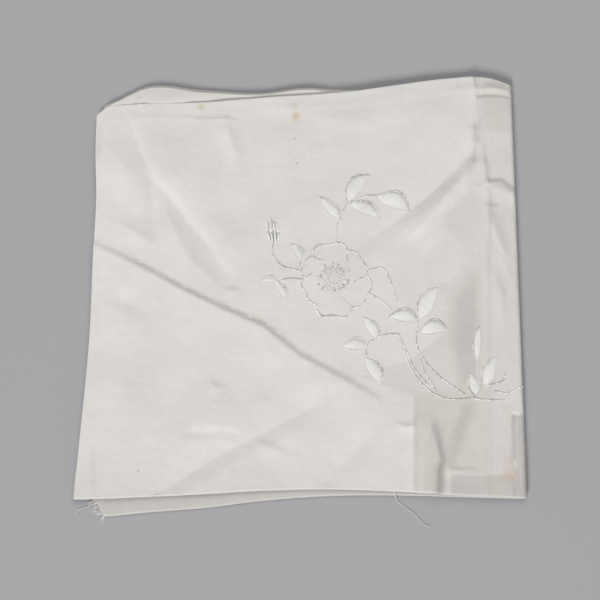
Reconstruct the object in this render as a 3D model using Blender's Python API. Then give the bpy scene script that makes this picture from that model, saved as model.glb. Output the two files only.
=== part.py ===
"""A linen handkerchief, folded in quarters and lying flat.

The cloth is one square. It is folded twice: its lower half is turned up behind, and then the
right half of that pair is turned behind too. Four layers lie on each other, a little apart.
The right and bottom sides are folds, and the left and top sides show the hemmed free edges.
A few threads have frayed out of the lower left corner, and one hangs loose at the bottom.

Metres, +Z up, +X to the right and +Y away from the person who looks down on the cloth.
The outline tables are measured from a middle point on the table, and the whole is moved at
the end so that the origin is under the middle of its box.
"""

import math
from collections import namedtuple

import bmesh
import bpy
import numpy as np
from mathutils import Matrix, Vector

# The cloth: a 16 inch square, drawn in a little by its creases.
QUARTER = 0.203
CLOTH = 0.0010
LAYER_GAP = 0.00035
HEM_WIDTH = 0.0080
HEM_SLOPE = 0.0016
HEM_SWELL = 0.20

# Bends, measured to the middle of the cloth. The pair bends round a core, the stack round two.
PITCH = CLOTH + LAYER_GAP
PAIR_BEND = PITCH / 2
STACK_BEND = PITCH
PAIR_REACH = PAIR_BEND + CLOTH / 2
STACK_REACH = STACK_BEND + PAIR_REACH
# The stack's bend is the wider one, so the folded square is as wide as a quarter and a bit lower.
FOLDED_HEIGHT = QUARTER - STACK_BEND
INNER_SHORT = 0.0015
INNER_RAMP = 0.1

# Rows of the grid on each side of a bend, and in the half turn itself.
PANEL_ROWS = 36
BEND_ROWS = 6

# Threads.
THREAD = 0.0005
CLEARANCE = 0.0003

# How far each side reaches, for the front pair of layers and for the back pair.
Side = namedtuple("Side", "at front back")
LEFT_SIDE = [
    Side(-0.1009, -0.1018, -0.0884),
    Side(-0.0920, -0.1017, -0.0928),
    Side(-0.0700, -0.1003, -0.0949),
    Side(-0.0440, -0.0986, -0.0950),
    Side(-0.0200, -0.0974, -0.0951),
    Side(0.0200, -0.0970, -0.0952),
    Side(0.0520, -0.0966, -0.0950),
    Side(0.0730, -0.0977, -0.0948),
    Side(0.0990, -0.0978, -0.0946),
]
TOP_SIDE = [
    Side(-0.0978, 0.0895, 0.0958),
    Side(-0.0932, 0.0951, 0.0972),
    Side(-0.0875, 0.0960, 0.1002),
    Side(-0.0770, 0.0967, 0.1060),
    Side(-0.0466, 0.0976, 0.1049),
    Side(-0.0178, 0.0998, 0.1033),
    Side(0.0222, 0.1031, 0.1052),
    Side(0.0531, 0.1076, 0.1065),
    Side(0.0724, 0.1102, 0.1080),
    Side(0.0821, 0.1109, 0.1080),
    Side(0.0918, 0.1102, 0.1075),
    Side(0.1022, 0.1065, 0.1065),
]
BOTTOM_SIDE = [
    Side(-0.1018, -0.0935, -0.1009),
    Side(-0.0884, -0.0934, -0.1009),
    Side(-0.0674, -0.0925, -0.0991),
    Side(-0.0404, -0.0912, -0.0969),
    Side(-0.0225, -0.0901, -0.0946),
    Side(0.0135, -0.0892, -0.0918),
    Side(0.0420, -0.0901, -0.0915),
    Side(0.0763, -0.0922, -0.0924),
    Side(0.1022, -0.0931, -0.0931),
]
RIGHT_SIDE = 0.1022

# Creases that stand up in the top layer. Left and right are seen from start towards end.
Crease = namedtuple("Crease", "start end rise reach_left reach_right")
CREASES = [
    Crease((-0.0970, 0.0256), (-0.0558, 0.0037), 0.0016, 0.0065, 0.0160),
    Crease((-0.0558, 0.0037), (-0.0173, -0.0144), 0.0020, 0.0070, 0.0170),
    Crease((-0.0173, -0.0144), (0.0387, -0.0525), 0.0017, 0.0070, 0.0160),
    Crease((-0.0787, 0.0780), (-0.0698, 0.0255), 0.0009, 0.0070, 0.0100),
    Crease((-0.0608, 0.0402), (-0.0353, 0.0040), 0.0010, 0.0070, 0.0110),
    Crease((-0.0520, 0.0560), (-0.0200, 0.0060), 0.0009, 0.0150, 0.0080),
    Crease((-0.0364, 0.0881), (-0.0285, 0.0660), 0.0009, 0.0070, 0.0100),
    Crease((0.0530, 0.0280), (0.0760, 0.0545), 0.0012, 0.0090, 0.0090),
    Crease((0.0760, 0.0545), (0.0838, 0.0860), 0.0013, 0.0080, 0.0100),
    Crease((0.0884, 0.0627), (0.0863, -0.0156), 0.0009, 0.0070, 0.0080),
    Crease((0.0888, 0.0567), (0.0990, 0.0527), 0.0013, 0.0070, 0.0080),
    Crease((-0.0606, -0.0880), (0.0206, -0.0416), 0.0008, 0.0120, 0.0100),
    Crease((0.0135, -0.0851), (0.0380, -0.0560), 0.0006, 0.0090, 0.0090),
    Crease((0.0615, -0.0660), (0.0612, -0.0880), 0.0014, 0.0070, 0.0090),
    Crease((0.0790, -0.0480), (0.0663, -0.0783), 0.0013, 0.0090, 0.0080),
]

# The points that the loose thread follows, from the bottom fold down to the table and along it.
LOOSE_THREAD = [
    (0.0424, -0.0912, 0.0026), (0.0428, -0.0922, 0.0024), (0.0434, -0.0934, 0.0013), (0.0442, -0.0944, 0.0006),
    (0.0452, -0.0951, 0.0003), (0.0486, -0.0977, 0.0003), (0.0517, -0.1003, 0.0003), (0.0540, -0.1028, 0.0003),
    (0.0558, -0.1045, 0.0003), (0.0583, -0.1057, 0.0003),
]

# The frayed stretch of the back pair's left side, and its threads from its upper end to its lower
# one. A thread starts at its heading, in degrees, and bends by its turn at each step.
FRAY_FROM = -0.0930
FRAY_TO = -0.1003
Strand = namedtuple("Strand", "length heading turn")
STRANDS = [
    Strand(0.0090, 200, 18),
    Strand(0.0022, 214, 10),
    Strand(0.0036, 232, -14),
    Strand(0.0028, 205, 12),
    Strand(0.0042, 222, 8),
    Strand(0.0030, 240, -10),
    Strand(0.0040, 226, 14),
    Strand(0.0024, 250, 8),
]
STRAND_STEPS = 4
STRIP_FACES_PER_STRAND = 3

LINEN_COLOUR = (0.68, 0.66, 0.63, 1.0)
THREAD_COLOUR = (0.74, 0.73, 0.71, 1.0)


def clear_scene():
    for obj in list(bpy.data.objects):
        bpy.data.objects.remove(obj)


def cloth_material(name, colour):
    material = bpy.data.materials.new(name)
    material.use_nodes = True
    shader = material.node_tree.nodes["Principled BSDF"]
    shader.inputs["Base Color"].default_value = colour
    shader.inputs["Roughness"].default_value = 0.9
    shader.inputs["Metallic"].default_value = 0.0
    return material


def add_object(collection, name, bm, material):
    mesh = bpy.data.meshes.new(name)
    bm.to_mesh(mesh)
    bm.free()
    mesh.materials.append(material)
    obj = bpy.data.objects.new(name, mesh)
    collection.objects.link(obj)
    return obj


def smoothed(share):
    """0 below 0, 1 above 1, and an S curve between."""
    share = min(max(share, 0.0), 1.0)
    return share * share * (3 - 2 * share)


def side_at(table, place, front):
    """Where a side is at a place along it. front is 1 on the front pair and 0 on the back pair."""
    at, front_values, back_values = zip(*table)
    return front * float(np.interp(place, at, front_values)) + (1 - front) * float(np.interp(place, at, back_values))


def grid_places():
    """Places of the grid's rows, from one free edge over the bend at 0 to the other.

    Up to 1 on each side lies in the bend, as a share of a quarter turn. Beyond it, the number
    is 1 plus the distance from the bend.
    """
    panel = QUARTER - STACK_REACH
    plain = panel - HEM_WIDTH - HEM_SLOPE
    distances = list(np.linspace(0, plain, PANEL_ROWS - 2)) + [panel - HEM_WIDTH, panel - HEM_WIDTH / 2, panel]
    half_bend = list(np.linspace(0, 1, BEND_ROWS // 2 + 1))
    side = half_bend[:-1] + [1 + distance for distance in distances]
    return [-place for place in reversed(side[1:])] + side


def turned(place, radius):
    """(distance past the bend's axis, height from it, which way it faces from -1 to 1)."""
    if abs(place) < 1:
        angle = place * math.pi / 2
        return -radius * math.cos(angle), radius * math.sin(angle), math.sin(angle)
    return abs(place) - 1, math.copysign(radius, place), math.copysign(1, place)


def relief(x, y):
    """How far the creases lift the top layer."""
    lift = 0.0
    for crease in CREASES:
        start, end = Vector(crease.start), Vector(crease.end)
        run = end - start
        offset = Vector((x, y)) - start
        share = min(max(offset.dot(run) / run.length_squared, 0.0), 1.0)
        away = (offset - run * share).length
        on_left = run.x * offset.y - run.y * offset.x > 0
        reach = crease.reach_left if on_left else crease.reach_right
        lift = max(lift, crease.rise * max(0.0, 1 - away / reach) ** 1.5)
    return lift


def folded(across, along, offset):
    """Where a point of the flat cloth lies once it is folded. offset is its height in the cloth."""
    # The lower half turns up behind, and then the right half of the pair behind that.
    up, level, outer = turned(along, PAIR_BEND + offset)
    left, height, front = turned(-across, STACK_BEND + level)
    outer, front = (1 + outer) / 2, (1 + front) / 2

    # Shares of the folded square: from the left edge to the right fold, from the bottom fold up.
    to_right = 1 - (STACK_REACH + left) / QUARTER
    upward = (PAIR_REACH + up) / FOLDED_HEIGHT
    inner_short = INNER_SHORT * (1 - outer)

    # The square is stretched to the edges, first roughly and then where its point really lies.
    y = (upward - 0.5) * FOLDED_HEIGHT
    for _ in range(3):
        left_side = side_at(LEFT_SIDE, y, front) + inner_short * smoothed(upward / INNER_RAMP)
        x = left_side + to_right * (RIGHT_SIDE - left_side)
        bottom = side_at(BOTTOM_SIDE, x, front)
        top = side_at(TOP_SIDE, x, front) - inner_short
        y = bottom + upward * (top - bottom)

    # The hems swell the stack along its free sides, and the creases lift its top layer.
    inside = min(to_right, 1 - upward) * QUARTER
    swell = 1 + HEM_SWELL * (1 - smoothed((inside - HEM_WIDTH) / HEM_SLOPE))
    z = (height + STACK_REACH) * swell + relief(x, y) * outer * front
    return Vector((x, y, z))


def folded_cloth(collection, material):
    places = grid_places()
    cells = len(places) - 1
    bm = bmesh.new()
    bmesh.ops.create_grid(bm, x_segments=cells, y_segments=cells, size=cells / 2)
    bmesh.ops.solidify(bm, geom=bm.faces[:], thickness=CLOTH)
    heights = [vert.co.z for vert in bm.verts]
    middle = (max(heights) + min(heights)) / 2
    for vert in bm.verts:
        column, row = (round(value + cells / 2) for value in vert.co.xy)
        vert.co = folded(places[column], places[row], vert.co.z - middle)
    bmesh.ops.recalc_face_normals(bm, faces=bm.faces[:])
    return add_object(collection, "handkerchief", bm, material)


def loose_thread(collection, material):
    """One thread that hangs out of the bottom fold and lies on the table."""
    curve = bpy.data.curves.new("loose_thread", "CURVE")
    curve.dimensions = "3D"
    curve.bevel_depth = THREAD / 2
    curve.bevel_resolution = 0
    curve.use_fill_caps = True
    spline = curve.splines.new("POLY")
    spline.points.add(len(LOOSE_THREAD) - 1)
    for point, place in zip(spline.points, LOOSE_THREAD):
        point.co = (*place, 1)
    curve.materials.append(material)
    obj = bpy.data.objects.new("loose_thread", curve)
    collection.objects.link(obj)
    return obj


def frayed_corner(collection, material):
    """Threads frayed out of the lower left corner, rooted in a strip that lies along its side."""
    start = Vector((side_at(LEFT_SIDE, FRAY_FROM, 0), FRAY_FROM, 0))
    end = Vector((side_at(LEFT_SIDE, FRAY_TO, 0), FRAY_TO, 0))
    run = end - start
    outward = Vector((run.y, -run.x, 0)).normalized()
    bm = bmesh.new()
    bmesh.ops.create_grid(bm, x_segments=len(STRANDS) * STRIP_FACES_PER_STRAND, y_segments=1, size=0.5)
    bmesh.ops.scale(bm, vec=(run.length, THREAD, 1), verts=bm.verts[:])
    slab = bmesh.ops.extrude_face_region(bm, geom=bm.faces[:])
    raised = [item for item in slab["geom"] if isinstance(item, bmesh.types.BMVert)]
    bmesh.ops.translate(bm, vec=(0, 0, THREAD), verts=raised)
    bmesh.ops.recalc_face_normals(bm, faces=bm.faces[:])
    bmesh.ops.rotate(bm, matrix=Matrix.Rotation(math.atan2(run.y, run.x), 3, "Z"), verts=bm.verts[:])
    middle = (start + end) / 2 + outward * (CLEARANCE + THREAD / 2)
    bmesh.ops.translate(bm, vec=middle, verts=bm.verts[:])
    bm.normal_update()

    outer = [face for face in bm.faces if face.normal.dot(outward) > 0.9]
    outer.sort(key=lambda face: -face.calc_center_median().y)
    for face, strand in zip(outer[1::STRIP_FACES_PER_STRAND], STRANDS):
        for number in range(STRAND_STEPS):
            heading = math.radians(strand.heading + strand.turn * number)
            step = Vector((math.cos(heading), math.sin(heading), 0)) * strand.length / STRAND_STEPS
            face = bmesh.ops.extrude_discrete_faces(bm, faces=[face])["faces"][0]
            bmesh.ops.translate(bm, vec=step, verts=face.verts)
    return add_object(collection, "frayed_corner", bm, material)


def set_on_origin(objects):
    """Moves the whole so that the origin is under the middle of its box."""
    graph = bpy.context.evaluated_depsgraph_get()
    points = []
    for obj in objects:
        shown = obj.evaluated_get(graph)
        points += [vert.co.copy() for vert in shown.to_mesh().vertices]
        shown.to_mesh_clear()
    low = Vector(map(min, *points))
    high = Vector(map(max, *points))
    move = Vector(((low.x + high.x) / 2, (low.y + high.y) / 2, low.z))
    for obj in objects:
        obj.location -= move


def main():
    clear_scene()
    collection = bpy.data.collections.new("linen_handkerchief")
    bpy.context.scene.collection.children.link(collection)
    linen = cloth_material("linen", LINEN_COLOUR)
    yarn = cloth_material("yarn", THREAD_COLOUR)
    set_on_origin([folded_cloth(collection, linen), loose_thread(collection, yarn), frayed_corner(collection, yarn)])


main()
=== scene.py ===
# %% [markdown]
# # A linen handkerchief, folded in quarters
# The real thing is one square of fine white linen with a narrow hem on its four sides. A spray of
# roses is worked on it in white thread, and it is folded twice and laid on a table. This lesson
# dresses the plain folded solid of the model: a thin sheet takes its place, the embroidery is laid
# on stitch by stitch, and a few threads hang out where the cloth has frayed.
#
# Everything is in metres, in the frame of the solids: +X to the right, +Y away and +Z up.

import math
from collections import namedtuple

import bmesh
import bpy
import numpy as np
from mathutils import Matrix, Vector, kdtree, noise


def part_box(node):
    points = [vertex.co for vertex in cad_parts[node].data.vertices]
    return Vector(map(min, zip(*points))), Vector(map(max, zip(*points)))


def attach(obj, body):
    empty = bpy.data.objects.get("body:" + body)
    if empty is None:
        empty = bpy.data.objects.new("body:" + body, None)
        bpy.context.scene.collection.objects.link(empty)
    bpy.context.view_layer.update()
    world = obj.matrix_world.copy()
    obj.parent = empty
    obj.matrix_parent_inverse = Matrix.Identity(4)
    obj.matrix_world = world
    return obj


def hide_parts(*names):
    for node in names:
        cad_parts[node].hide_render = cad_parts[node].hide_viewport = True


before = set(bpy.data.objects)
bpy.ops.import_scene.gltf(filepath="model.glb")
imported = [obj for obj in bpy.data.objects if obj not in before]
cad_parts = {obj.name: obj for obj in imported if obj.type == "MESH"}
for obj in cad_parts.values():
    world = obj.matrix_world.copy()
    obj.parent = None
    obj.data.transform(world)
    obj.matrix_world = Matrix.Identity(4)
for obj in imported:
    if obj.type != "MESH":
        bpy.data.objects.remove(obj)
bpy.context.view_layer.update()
CLOTH_LOW, CLOTH_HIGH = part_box("handkerchief")
print("solid cloth:", [round(side * 1000, 1) for side in CLOTH_HIGH - CLOTH_LOW], "mm")

# %% [markdown]
# ## A frame for drawing
# The sides, the creases and the flowers are all measured from one middle point on the table, the
# one that the camera looks at. The model's origin lies under the middle of its box instead, so
# one step leads from the first to the second. The right-hand fold and the lowest side are read
# from the solid, which keeps the drawing on it.

# %% The drawing's middle
RIGHT_SIDE = 0.1022
LOWEST_SIDE = -0.1009
MIDDLE = Vector((CLOTH_HIGH.x - RIGHT_SIDE, CLOTH_LOW.y - LOWEST_SIDE, 0))
print("middle of the drawing:", [round(value * 1000, 2) for value in MIDDLE], "mm")

# %% [markdown]
# ## The camera
# The photograph looks down on the cloth, tilted 15 degrees from upright. From 0.707 m away, a
# 91 mm lens on a 36 mm sensor gives the cloth the size that it has in the picture.

# %% Camera
CAMERA_TILT = math.radians(15)
CAMERA_DISTANCE = 0.707
CAMERA_LENS = 90.8

camera_data = bpy.data.cameras.new("camera")
camera_data.lens = CAMERA_LENS
camera_data.sensor_width = 36
camera = bpy.data.objects.new("camera", camera_data)
camera.location = MIDDLE + CAMERA_DISTANCE * Vector((0, -math.sin(CAMERA_TILT), math.cos(CAMERA_TILT)))
camera.rotation_euler = (CAMERA_TILT, 0, 0)
bpy.context.scene.collection.objects.link(camera)
bpy.context.scene.camera = camera
print("camera at", [round(value, 3) for value in camera.location])

# %% [markdown]
# ## How the square is folded
# A folded cloth could be modelled as four loose layers, but the folds would then be gaps. Here
# one flat square is bent twice by a formula, as the real one is: the lower half turns up behind,
# round a narrow bend, and then the right half of that pair turns behind, round a wider one. Any
# point of the flat cloth, also one a little above it, goes through the same formula, so that the
# stitches are laid on the flat cloth and folded with it.

# %% Sizes of the cloth
QUARTER = 0.203
CUT = 0.406
CLOTH = 0.0004
HEM = 0.0006
HEM_WIDTH = 0.0080
HEM_STEP = 0.0016
# The layers lie a pitch apart, so the first fold has half a pitch as its radius
PITCH = 0.00135
PAIR_BEND = PITCH / 2
STACK_BEND = PITCH
PAIR_REACH = PAIR_BEND + CLOTH / 2
STACK_REACH = STACK_BEND + PAIR_REACH
FOLDED_HEIGHT = QUARTER - STACK_BEND
PANEL = QUARTER - STACK_REACH
HALF_ACROSS = PANEL + STACK_BEND * math.pi / 2
HALF_ALONG = PANEL + PAIR_BEND * math.pi / 2
print("flat cloth:", round(2 * HALF_ACROSS * 1000), "by", round(2 * HALF_ALONG * 1000), "mm")

# %% [markdown]
# ## Its uneven sides
# No side of the folded cloth is straight. Each table says how far a side reaches at some places
# along it, for the front pair of layers and for the back pair, and a smooth curve runs through
# the rows. The back pair shows below the front one at the bottom left and above it at the top.

# %% Sides
Side = namedtuple("Side", "at front back")
LEFT_SIDE = [
    Side(-0.1009, -0.1018, -0.0884),
    Side(-0.0920, -0.1017, -0.0928),
    Side(-0.0700, -0.1003, -0.0949),
    Side(-0.0440, -0.0986, -0.0950),
    Side(-0.0200, -0.0974, -0.0951),
    Side(0.0200, -0.0970, -0.0952),
    Side(0.0520, -0.0966, -0.0950),
    Side(0.0730, -0.0977, -0.0948),
    Side(0.0990, -0.0978, -0.0946),
]
TOP_SIDE = [
    Side(-0.0978, 0.0912, 0.0960),
    Side(-0.0932, 0.0957, 0.0978),
    Side(-0.0875, 0.0966, 0.1005),
    Side(-0.0770, 0.0973, 0.1062),
    Side(-0.0466, 0.0981, 0.1052),
    Side(-0.0178, 0.1002, 0.1037),
    Side(0.0010, 0.1015, 0.1063),
    Side(0.0222, 0.1031, 0.1052),
    Side(0.0531, 0.1076, 0.1065),
    Side(0.0724, 0.1102, 0.1080),
    Side(0.0821, 0.1109, 0.1080),
    Side(0.0918, 0.1102, 0.1075),
    Side(0.1022, 0.1065, 0.1065),
]
BOTTOM_SIDE = [
    Side(-0.1018, -0.0935, -0.1009),
    Side(-0.0884, -0.0934, -0.1009),
    Side(-0.0674, -0.0925, -0.0991),
    Side(-0.0404, -0.0912, -0.0969),
    Side(-0.0225, -0.0901, -0.0946),
    Side(0.0135, -0.0892, -0.0918),
    Side(0.0420, -0.0901, -0.0915),
    Side(0.0763, -0.0922, -0.0924),
    Side(0.1022, -0.0931, -0.0931),
]


def through(at, values, place):
    """A smooth curve through the values, read at a place or at an array of them."""
    at, values = np.array(at), np.array(values)
    slopes = np.gradient(values, at)
    index = np.clip(np.searchsorted(at, place) - 1, 0, len(at) - 2)
    step = at[index + 1] - at[index]
    share = np.clip((place - at[index]) / step, 0, 1)
    rest = 1 - share
    ends = (1 + 2 * share) * rest ** 2 * values[index] + (3 - 2 * share) * share ** 2 * values[index + 1]
    leans = share * rest ** 2 * slopes[index] - share ** 2 * rest * slopes[index + 1]
    return ends + leans * step


def side_at(table, place, front):
    """Where a side is. front is 1 on the front pair of layers and 0 on the back pair."""
    at, front_values, back_values = zip(*table)
    return front * through(at, front_values, place) + (1 - front) * through(at, back_values, place)


def smoothed(share):
    """0 below 0, 1 above 1, and an S curve between."""
    share = np.clip(share, 0, 1)
    return share * share * (3 - 2 * share)


# %% [markdown]
# ## Its creases
# Linen keeps the creases it was pressed or crushed into. They could come from a cloth simulation, but not in
# the places where this cloth has them, so each one is drawn: a line of points, how far the cloth rises (or
# sinks, where it is negative) at each point, and how far the slope reaches on the line's left and on its
# right, as seen from its start. A crushed crease is steep on one side and long on the other, which is what
# catches the light along it.

# %% Creases
Crease = namedtuple("Crease", "points rises left right")
CREASES = [
    # The long crease from the left side down towards the right
    Crease([(-0.0970, 0.0256), (-0.0842, 0.0193), (-0.0690, 0.0112), (-0.0558, 0.0037), (-0.0382, -0.0052),
            (-0.0173, -0.0144), (-0.0005, -0.0282), (0.0206, -0.0399), (0.0342, -0.0479), (0.0387, -0.0525)],
           [0.0006, 0.0010, 0.0013, 0.0014, 0.0014, 0.0014, 0.0012, 0.0009, 0.0005, 0], 0.0030, 0.0200),
    # Upper left: a long valley with a dark slope on its left, and the small folds that run into it
    Crease([(-0.0820, 0.0881), (-0.0763, 0.0728), (-0.0702, 0.0582), (-0.0648, 0.0527), (-0.0542, 0.0392),
            (-0.0446, 0.0269), (-0.0374, 0.0157), (-0.0270, 0.0036)],
           [-0.0002, -0.0007, -0.0008, -0.0008, -0.0008, -0.0007, -0.0005, 0], 0.0042, 0.0120),
    Crease([(-0.0730, 0.0881), (-0.0670, 0.0750), (-0.0600, 0.0610), (-0.0540, 0.0530), (-0.0440, 0.0410),
            (-0.0340, 0.0280), (-0.0270, 0.0160)],
           [0.0003, 0.0005, 0.0005, 0.0005, 0.0005, 0.0004, 0], 0.0300, 0.0110),
    Crease([(-0.0650, 0.0480), (-0.0587, 0.0328), (-0.0528, 0.0196), (-0.0434, 0.0108), (-0.0353, 0.0040)],
           [0.0002, 0.0006, 0.0006, 0.0005, 0.0001], 0.0060, 0.0100),
    Crease([(-0.0709, 0.0600), (-0.0699, 0.0500), (-0.0695, 0.0380), (-0.0691, 0.0255)],
           [-0.0003, -0.0007, -0.0007, 0], 0.0060, 0.0045),
    Crease([(-0.0871, 0.0378), (-0.0799, 0.0333), (-0.0737, 0.0289), (-0.0679, 0.0245)],
           [0, 0.0006, 0.0006, 0], 0.0050, 0.0080),
    Crease([(-0.0364, 0.0894), (-0.0330, 0.0790), (-0.0310, 0.0720), (-0.0305, 0.0620)],
           [0.0004, 0.0012, 0.0012, 0.0002], 0.0062, 0.0070),
    Crease([(-0.0825, 0.0895), (-0.0499, 0.0895), (-0.0345, 0.0898)],
           [0.0001, 0.0003, 0.0003], 0.0022, 0.0090),
    Crease([(-0.0370, 0.0042), (-0.0316, 0.0034), (-0.0262, 0.0029)], [0, 0.0005, 0], 0.0018, 0.0050),
    # Upper right: a valley with its dark slope below, and the narrow bright fold under it
    Crease([(0.0230, 0.0210), (0.0405, 0.0340), (0.0495, 0.0412), (0.0614, 0.0515), (0.0735, 0.0625),
            (0.0815, 0.0720), (0.0838, 0.0830)],
           [-0.0002, -0.0010, -0.0012, -0.0013, -0.0013, -0.0012, 0], 0.0150, 0.0060),
    Crease([(0.0825, 0.0655), (0.0750, 0.0560), (0.0685, 0.0480), (0.0630, 0.0415), (0.0574, 0.0353),
            (0.0490, 0.0280)], [0.0004, 0.0014, 0.0017, 0.0016, 0.0011, 0.0002], 0.0048, 0.0080),
    Crease([(0.0838, 0.0860), (0.0840, 0.0769), (0.0819, 0.0695)], [0.0003, 0.0018, 0], 0.0020, 0.0070),
    # The pressed crease beside the right-hand fold, and the crushed strip beyond it
    Crease([(0.0838, 0.1096), (0.0840, 0.0960), (0.0868, 0.0700), (0.0884, 0.0627), (0.0888, 0.0400),
            (0.0871, 0.0230), (0.0863, -0.0156), (0.0853, -0.0484), (0.0839, -0.0918)],
           [0.0010, 0.0005, 0.0005, 0.0008, 0.0008, 0.0007, 0.0006, 0.0005, 0.0005], 0.0022, 0.0050),
    Crease([(0.0885, 0.0560), (0.0948, 0.0564), (0.1010, 0.0517)], [0.0007, 0.0012, 0.0009], 0.0024, 0.0080),
    Crease([(0.0888, 0.0448), (0.0925, 0.0448)], [0.0004, 0.0002], 0.0012, 0.0040),
    Crease([(0.0890, 0.0420), (0.0916, 0.0328), (0.0945, 0.0230), (0.0975, 0.0120)],
           [0.0004, 0.0011, 0.0010, 0], 0.0050, 0.0040),
    Crease([(0.0900, 0.0150), (0.0935, 0.0010), (0.0925, -0.0180)], [0, 0.0008, 0], 0.0030, 0.0050),
    # The soft fold that comes down from the upper right, past the leaves
    Crease([(0.0853, 0.0255), (0.0776, 0.0150), (0.0684, 0.0074), (0.0600, 0.0060)],
           [-0.0003, -0.0007, -0.0006, 0], 0.0060, 0.0100),
    # Lower left: a long valley up to the right, and crinkles
    Crease([(-0.0615, -0.0896), (-0.0473, -0.0805), (-0.0326, -0.0714), (-0.0172, -0.0637),
            (-0.0009, -0.0554), (0.0206, -0.0430)],
           [-0.0008, -0.0010, -0.0010, -0.0010, -0.0008, 0], 0.0130, 0.0070),
    Crease([(-0.0562, -0.0637), (-0.0476, -0.0634), (-0.0304, -0.0637)],
           [0, -0.0004, -0.0003], 0.0030, 0.0040),
    Crease([(-0.0444, -0.0391), (-0.0389, -0.0424), (-0.0329, -0.0438)], [0, 0.0005, 0], 0.0022, 0.0060),
    Crease([(-0.0213, -0.0682), (-0.0145, -0.0701), (-0.0009, -0.0765)], [0, 0.0006, 0], 0.0040, 0.0070),
    Crease([(0.0135, -0.0851), (0.0270, -0.0700), (0.0409, -0.0541)], [-0.0004, -0.0008, 0], 0.0080, 0.0060),
    Crease([(-0.0880, 0.0020), (-0.0800, -0.0020), (-0.0650, -0.0120)], [0, -0.0006, 0], 0.0080, 0.0060),
    # The lower right corner: two creases that meet in a V, and the gap in the fold beside them
    Crease([(0.0519, -0.0461), (0.0515, -0.0700), (0.0510, -0.0918)],
           [0.0001, 0.0004, 0.0004], 0.0016, 0.0040),
    Crease([(0.0585, -0.0540), (0.0615, -0.0660), (0.0628, -0.0769), (0.0612, -0.0915)],
           [0, 0.0013, 0.0020, 0.0022], 0.0034, 0.0070),
    Crease([(0.0790, -0.0480), (0.0702, -0.0669), (0.0663, -0.0783)],
           [0.0004, 0.0018, 0.0010], 0.0060, 0.0040),
    Crease([(0.0680, -0.0806), (0.0775, -0.0806)], [0.0005, 0.0003], 0.0014, 0.0050),
    Crease([(0.0436, -0.0586), (0.0472, -0.0605), (0.0508, -0.0605), (0.0551, -0.0540)],
           [0, 0.0006, 0.0006, 0], 0.0020, 0.0040),
    Crease([(0.0980, -0.0560), (0.0975, -0.0714), (0.0980, -0.0920)],
           [-0.0008, -0.0012, -0.0006], 0.0020, 0.0020),
    # The end of the top hem at the right-hand fold
    Crease([(0.0850, 0.1044), (0.0930, 0.1048), (0.1000, 0.1034)], [0.0003, 0.0009, 0.0006], 0.0030, 0.0034),
]
CREASE_SHARPNESS = 1.6
CREST = 0.0006


def to_stretch(x, y, start, end):
    """The nearest place on a straight stretch, as a share of its length, and the distance to it."""
    (x0, y0), (x1, y1) = start, end
    run_x, run_y = x1 - x0, y1 - y0
    share = np.clip(((x - x0) * run_x + (y - y0) * run_y) / (run_x ** 2 + run_y ** 2), 0, 1)
    return share, np.hypot(x - x0 - share * run_x, y - y0 - share * run_y)


def crease_height(x, y, crease):
    """How far one crease lifts the cloth, by the nearest of its stretches."""
    height, nearest = np.zeros_like(x), np.full_like(x, np.inf)
    stretches = zip(crease.points, crease.points[1:], crease.rises, crease.rises[1:])
    for (x0, y0), (x1, y1), rise0, rise1 in stretches:
        share, away = to_stretch(x, y, (x0, y0), (x1, y1))
        away = np.hypot(away, CREST) - CREST
        on_left = (x1 - x0) * (y - y0) - (y1 - y0) * (x - x0) > 0
        reach = np.where(on_left, crease.left, crease.right)
        lift = (rise0 + (rise1 - rise0) * share) * np.clip(1 - away / reach, 0, 1) ** CREASE_SHARPNESS
        height = np.where(away < nearest, lift, height)
        nearest = np.minimum(nearest, away)
    return height


print(len(CREASES), "creases, the highest", max(max(crease.rises) for crease in CREASES) * 1000, "mm")

# %% [markdown]
# ## Its soft unevenness
# Between the creases, cloth that has been washed and worn is never flat. Smooth noise at two
# scales lifts it by some tenths of a millimetre: wide swells, and the small crinkles between.

# %% Swells and crinkles
Roll = namedtuple("Roll", "scale height seed")
ROLLS = [Roll(0.042, 0.00065, 3.0), Roll(0.017, 0.00042, 11.0), Roll(0.006, 0.00007, 23.0)]
DEEPEST = -0.0012


def rolling(x, y):
    height = np.zeros_like(x)
    for roll in ROLLS:
        places = zip((x / roll.scale).ravel(), (y / roll.scale).ravel())
        values = np.array([noise.noise(Vector((a, b, roll.seed))) for a, b in places])
        height += roll.height * values.reshape(x.shape)
    return height


def relief(x, y):
    """The height of the top layer over a flat one. The layers under it stop it at the deepest."""
    return np.maximum(rolling(x, y) + sum(crease_height(x, y, crease) for crease in CREASES), DEEPEST)


print("deepest trough:", DEEPEST * 1000, "mm")

# %% [markdown]
# ## How the stack settles
# A stack of layers is lower along its free edges than in its middle, and lowest at the upper left
# corner, where no fold holds the layers apart. There the back pair rises again just past the front
# pair's top edge, and the light catches it. A settling factor on the height does the first, and a
# small rise that starts at that edge does the second.

# %% Settling
SETTLE = 0.30
SETTLE_REACH = 0.0200
CORNER_SETTLE = 0.52
CORNER_SETTLE_REACH = 0.0450
CORNER_FADE_START = -0.06
CORNER_FADE_LENGTH = 0.10
# The rise, and how far before the edge it starts, at both ends of the stretch where they change
BACK_RISE = (0.0026, 0.0019)
BACK_RISE_LEAD = (0.0012, -0.0003)
BACK_RISE_CHANGE = (-0.060, -0.045)
BACK_RISE_RAMP = 0.0018
BACK_RISE_END = 0.025
BACK_RISE_FADE = 0.020
FRONT_TOP = [side.at for side in TOP_SIDE], [side.front for side in TOP_SIDE]


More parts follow.
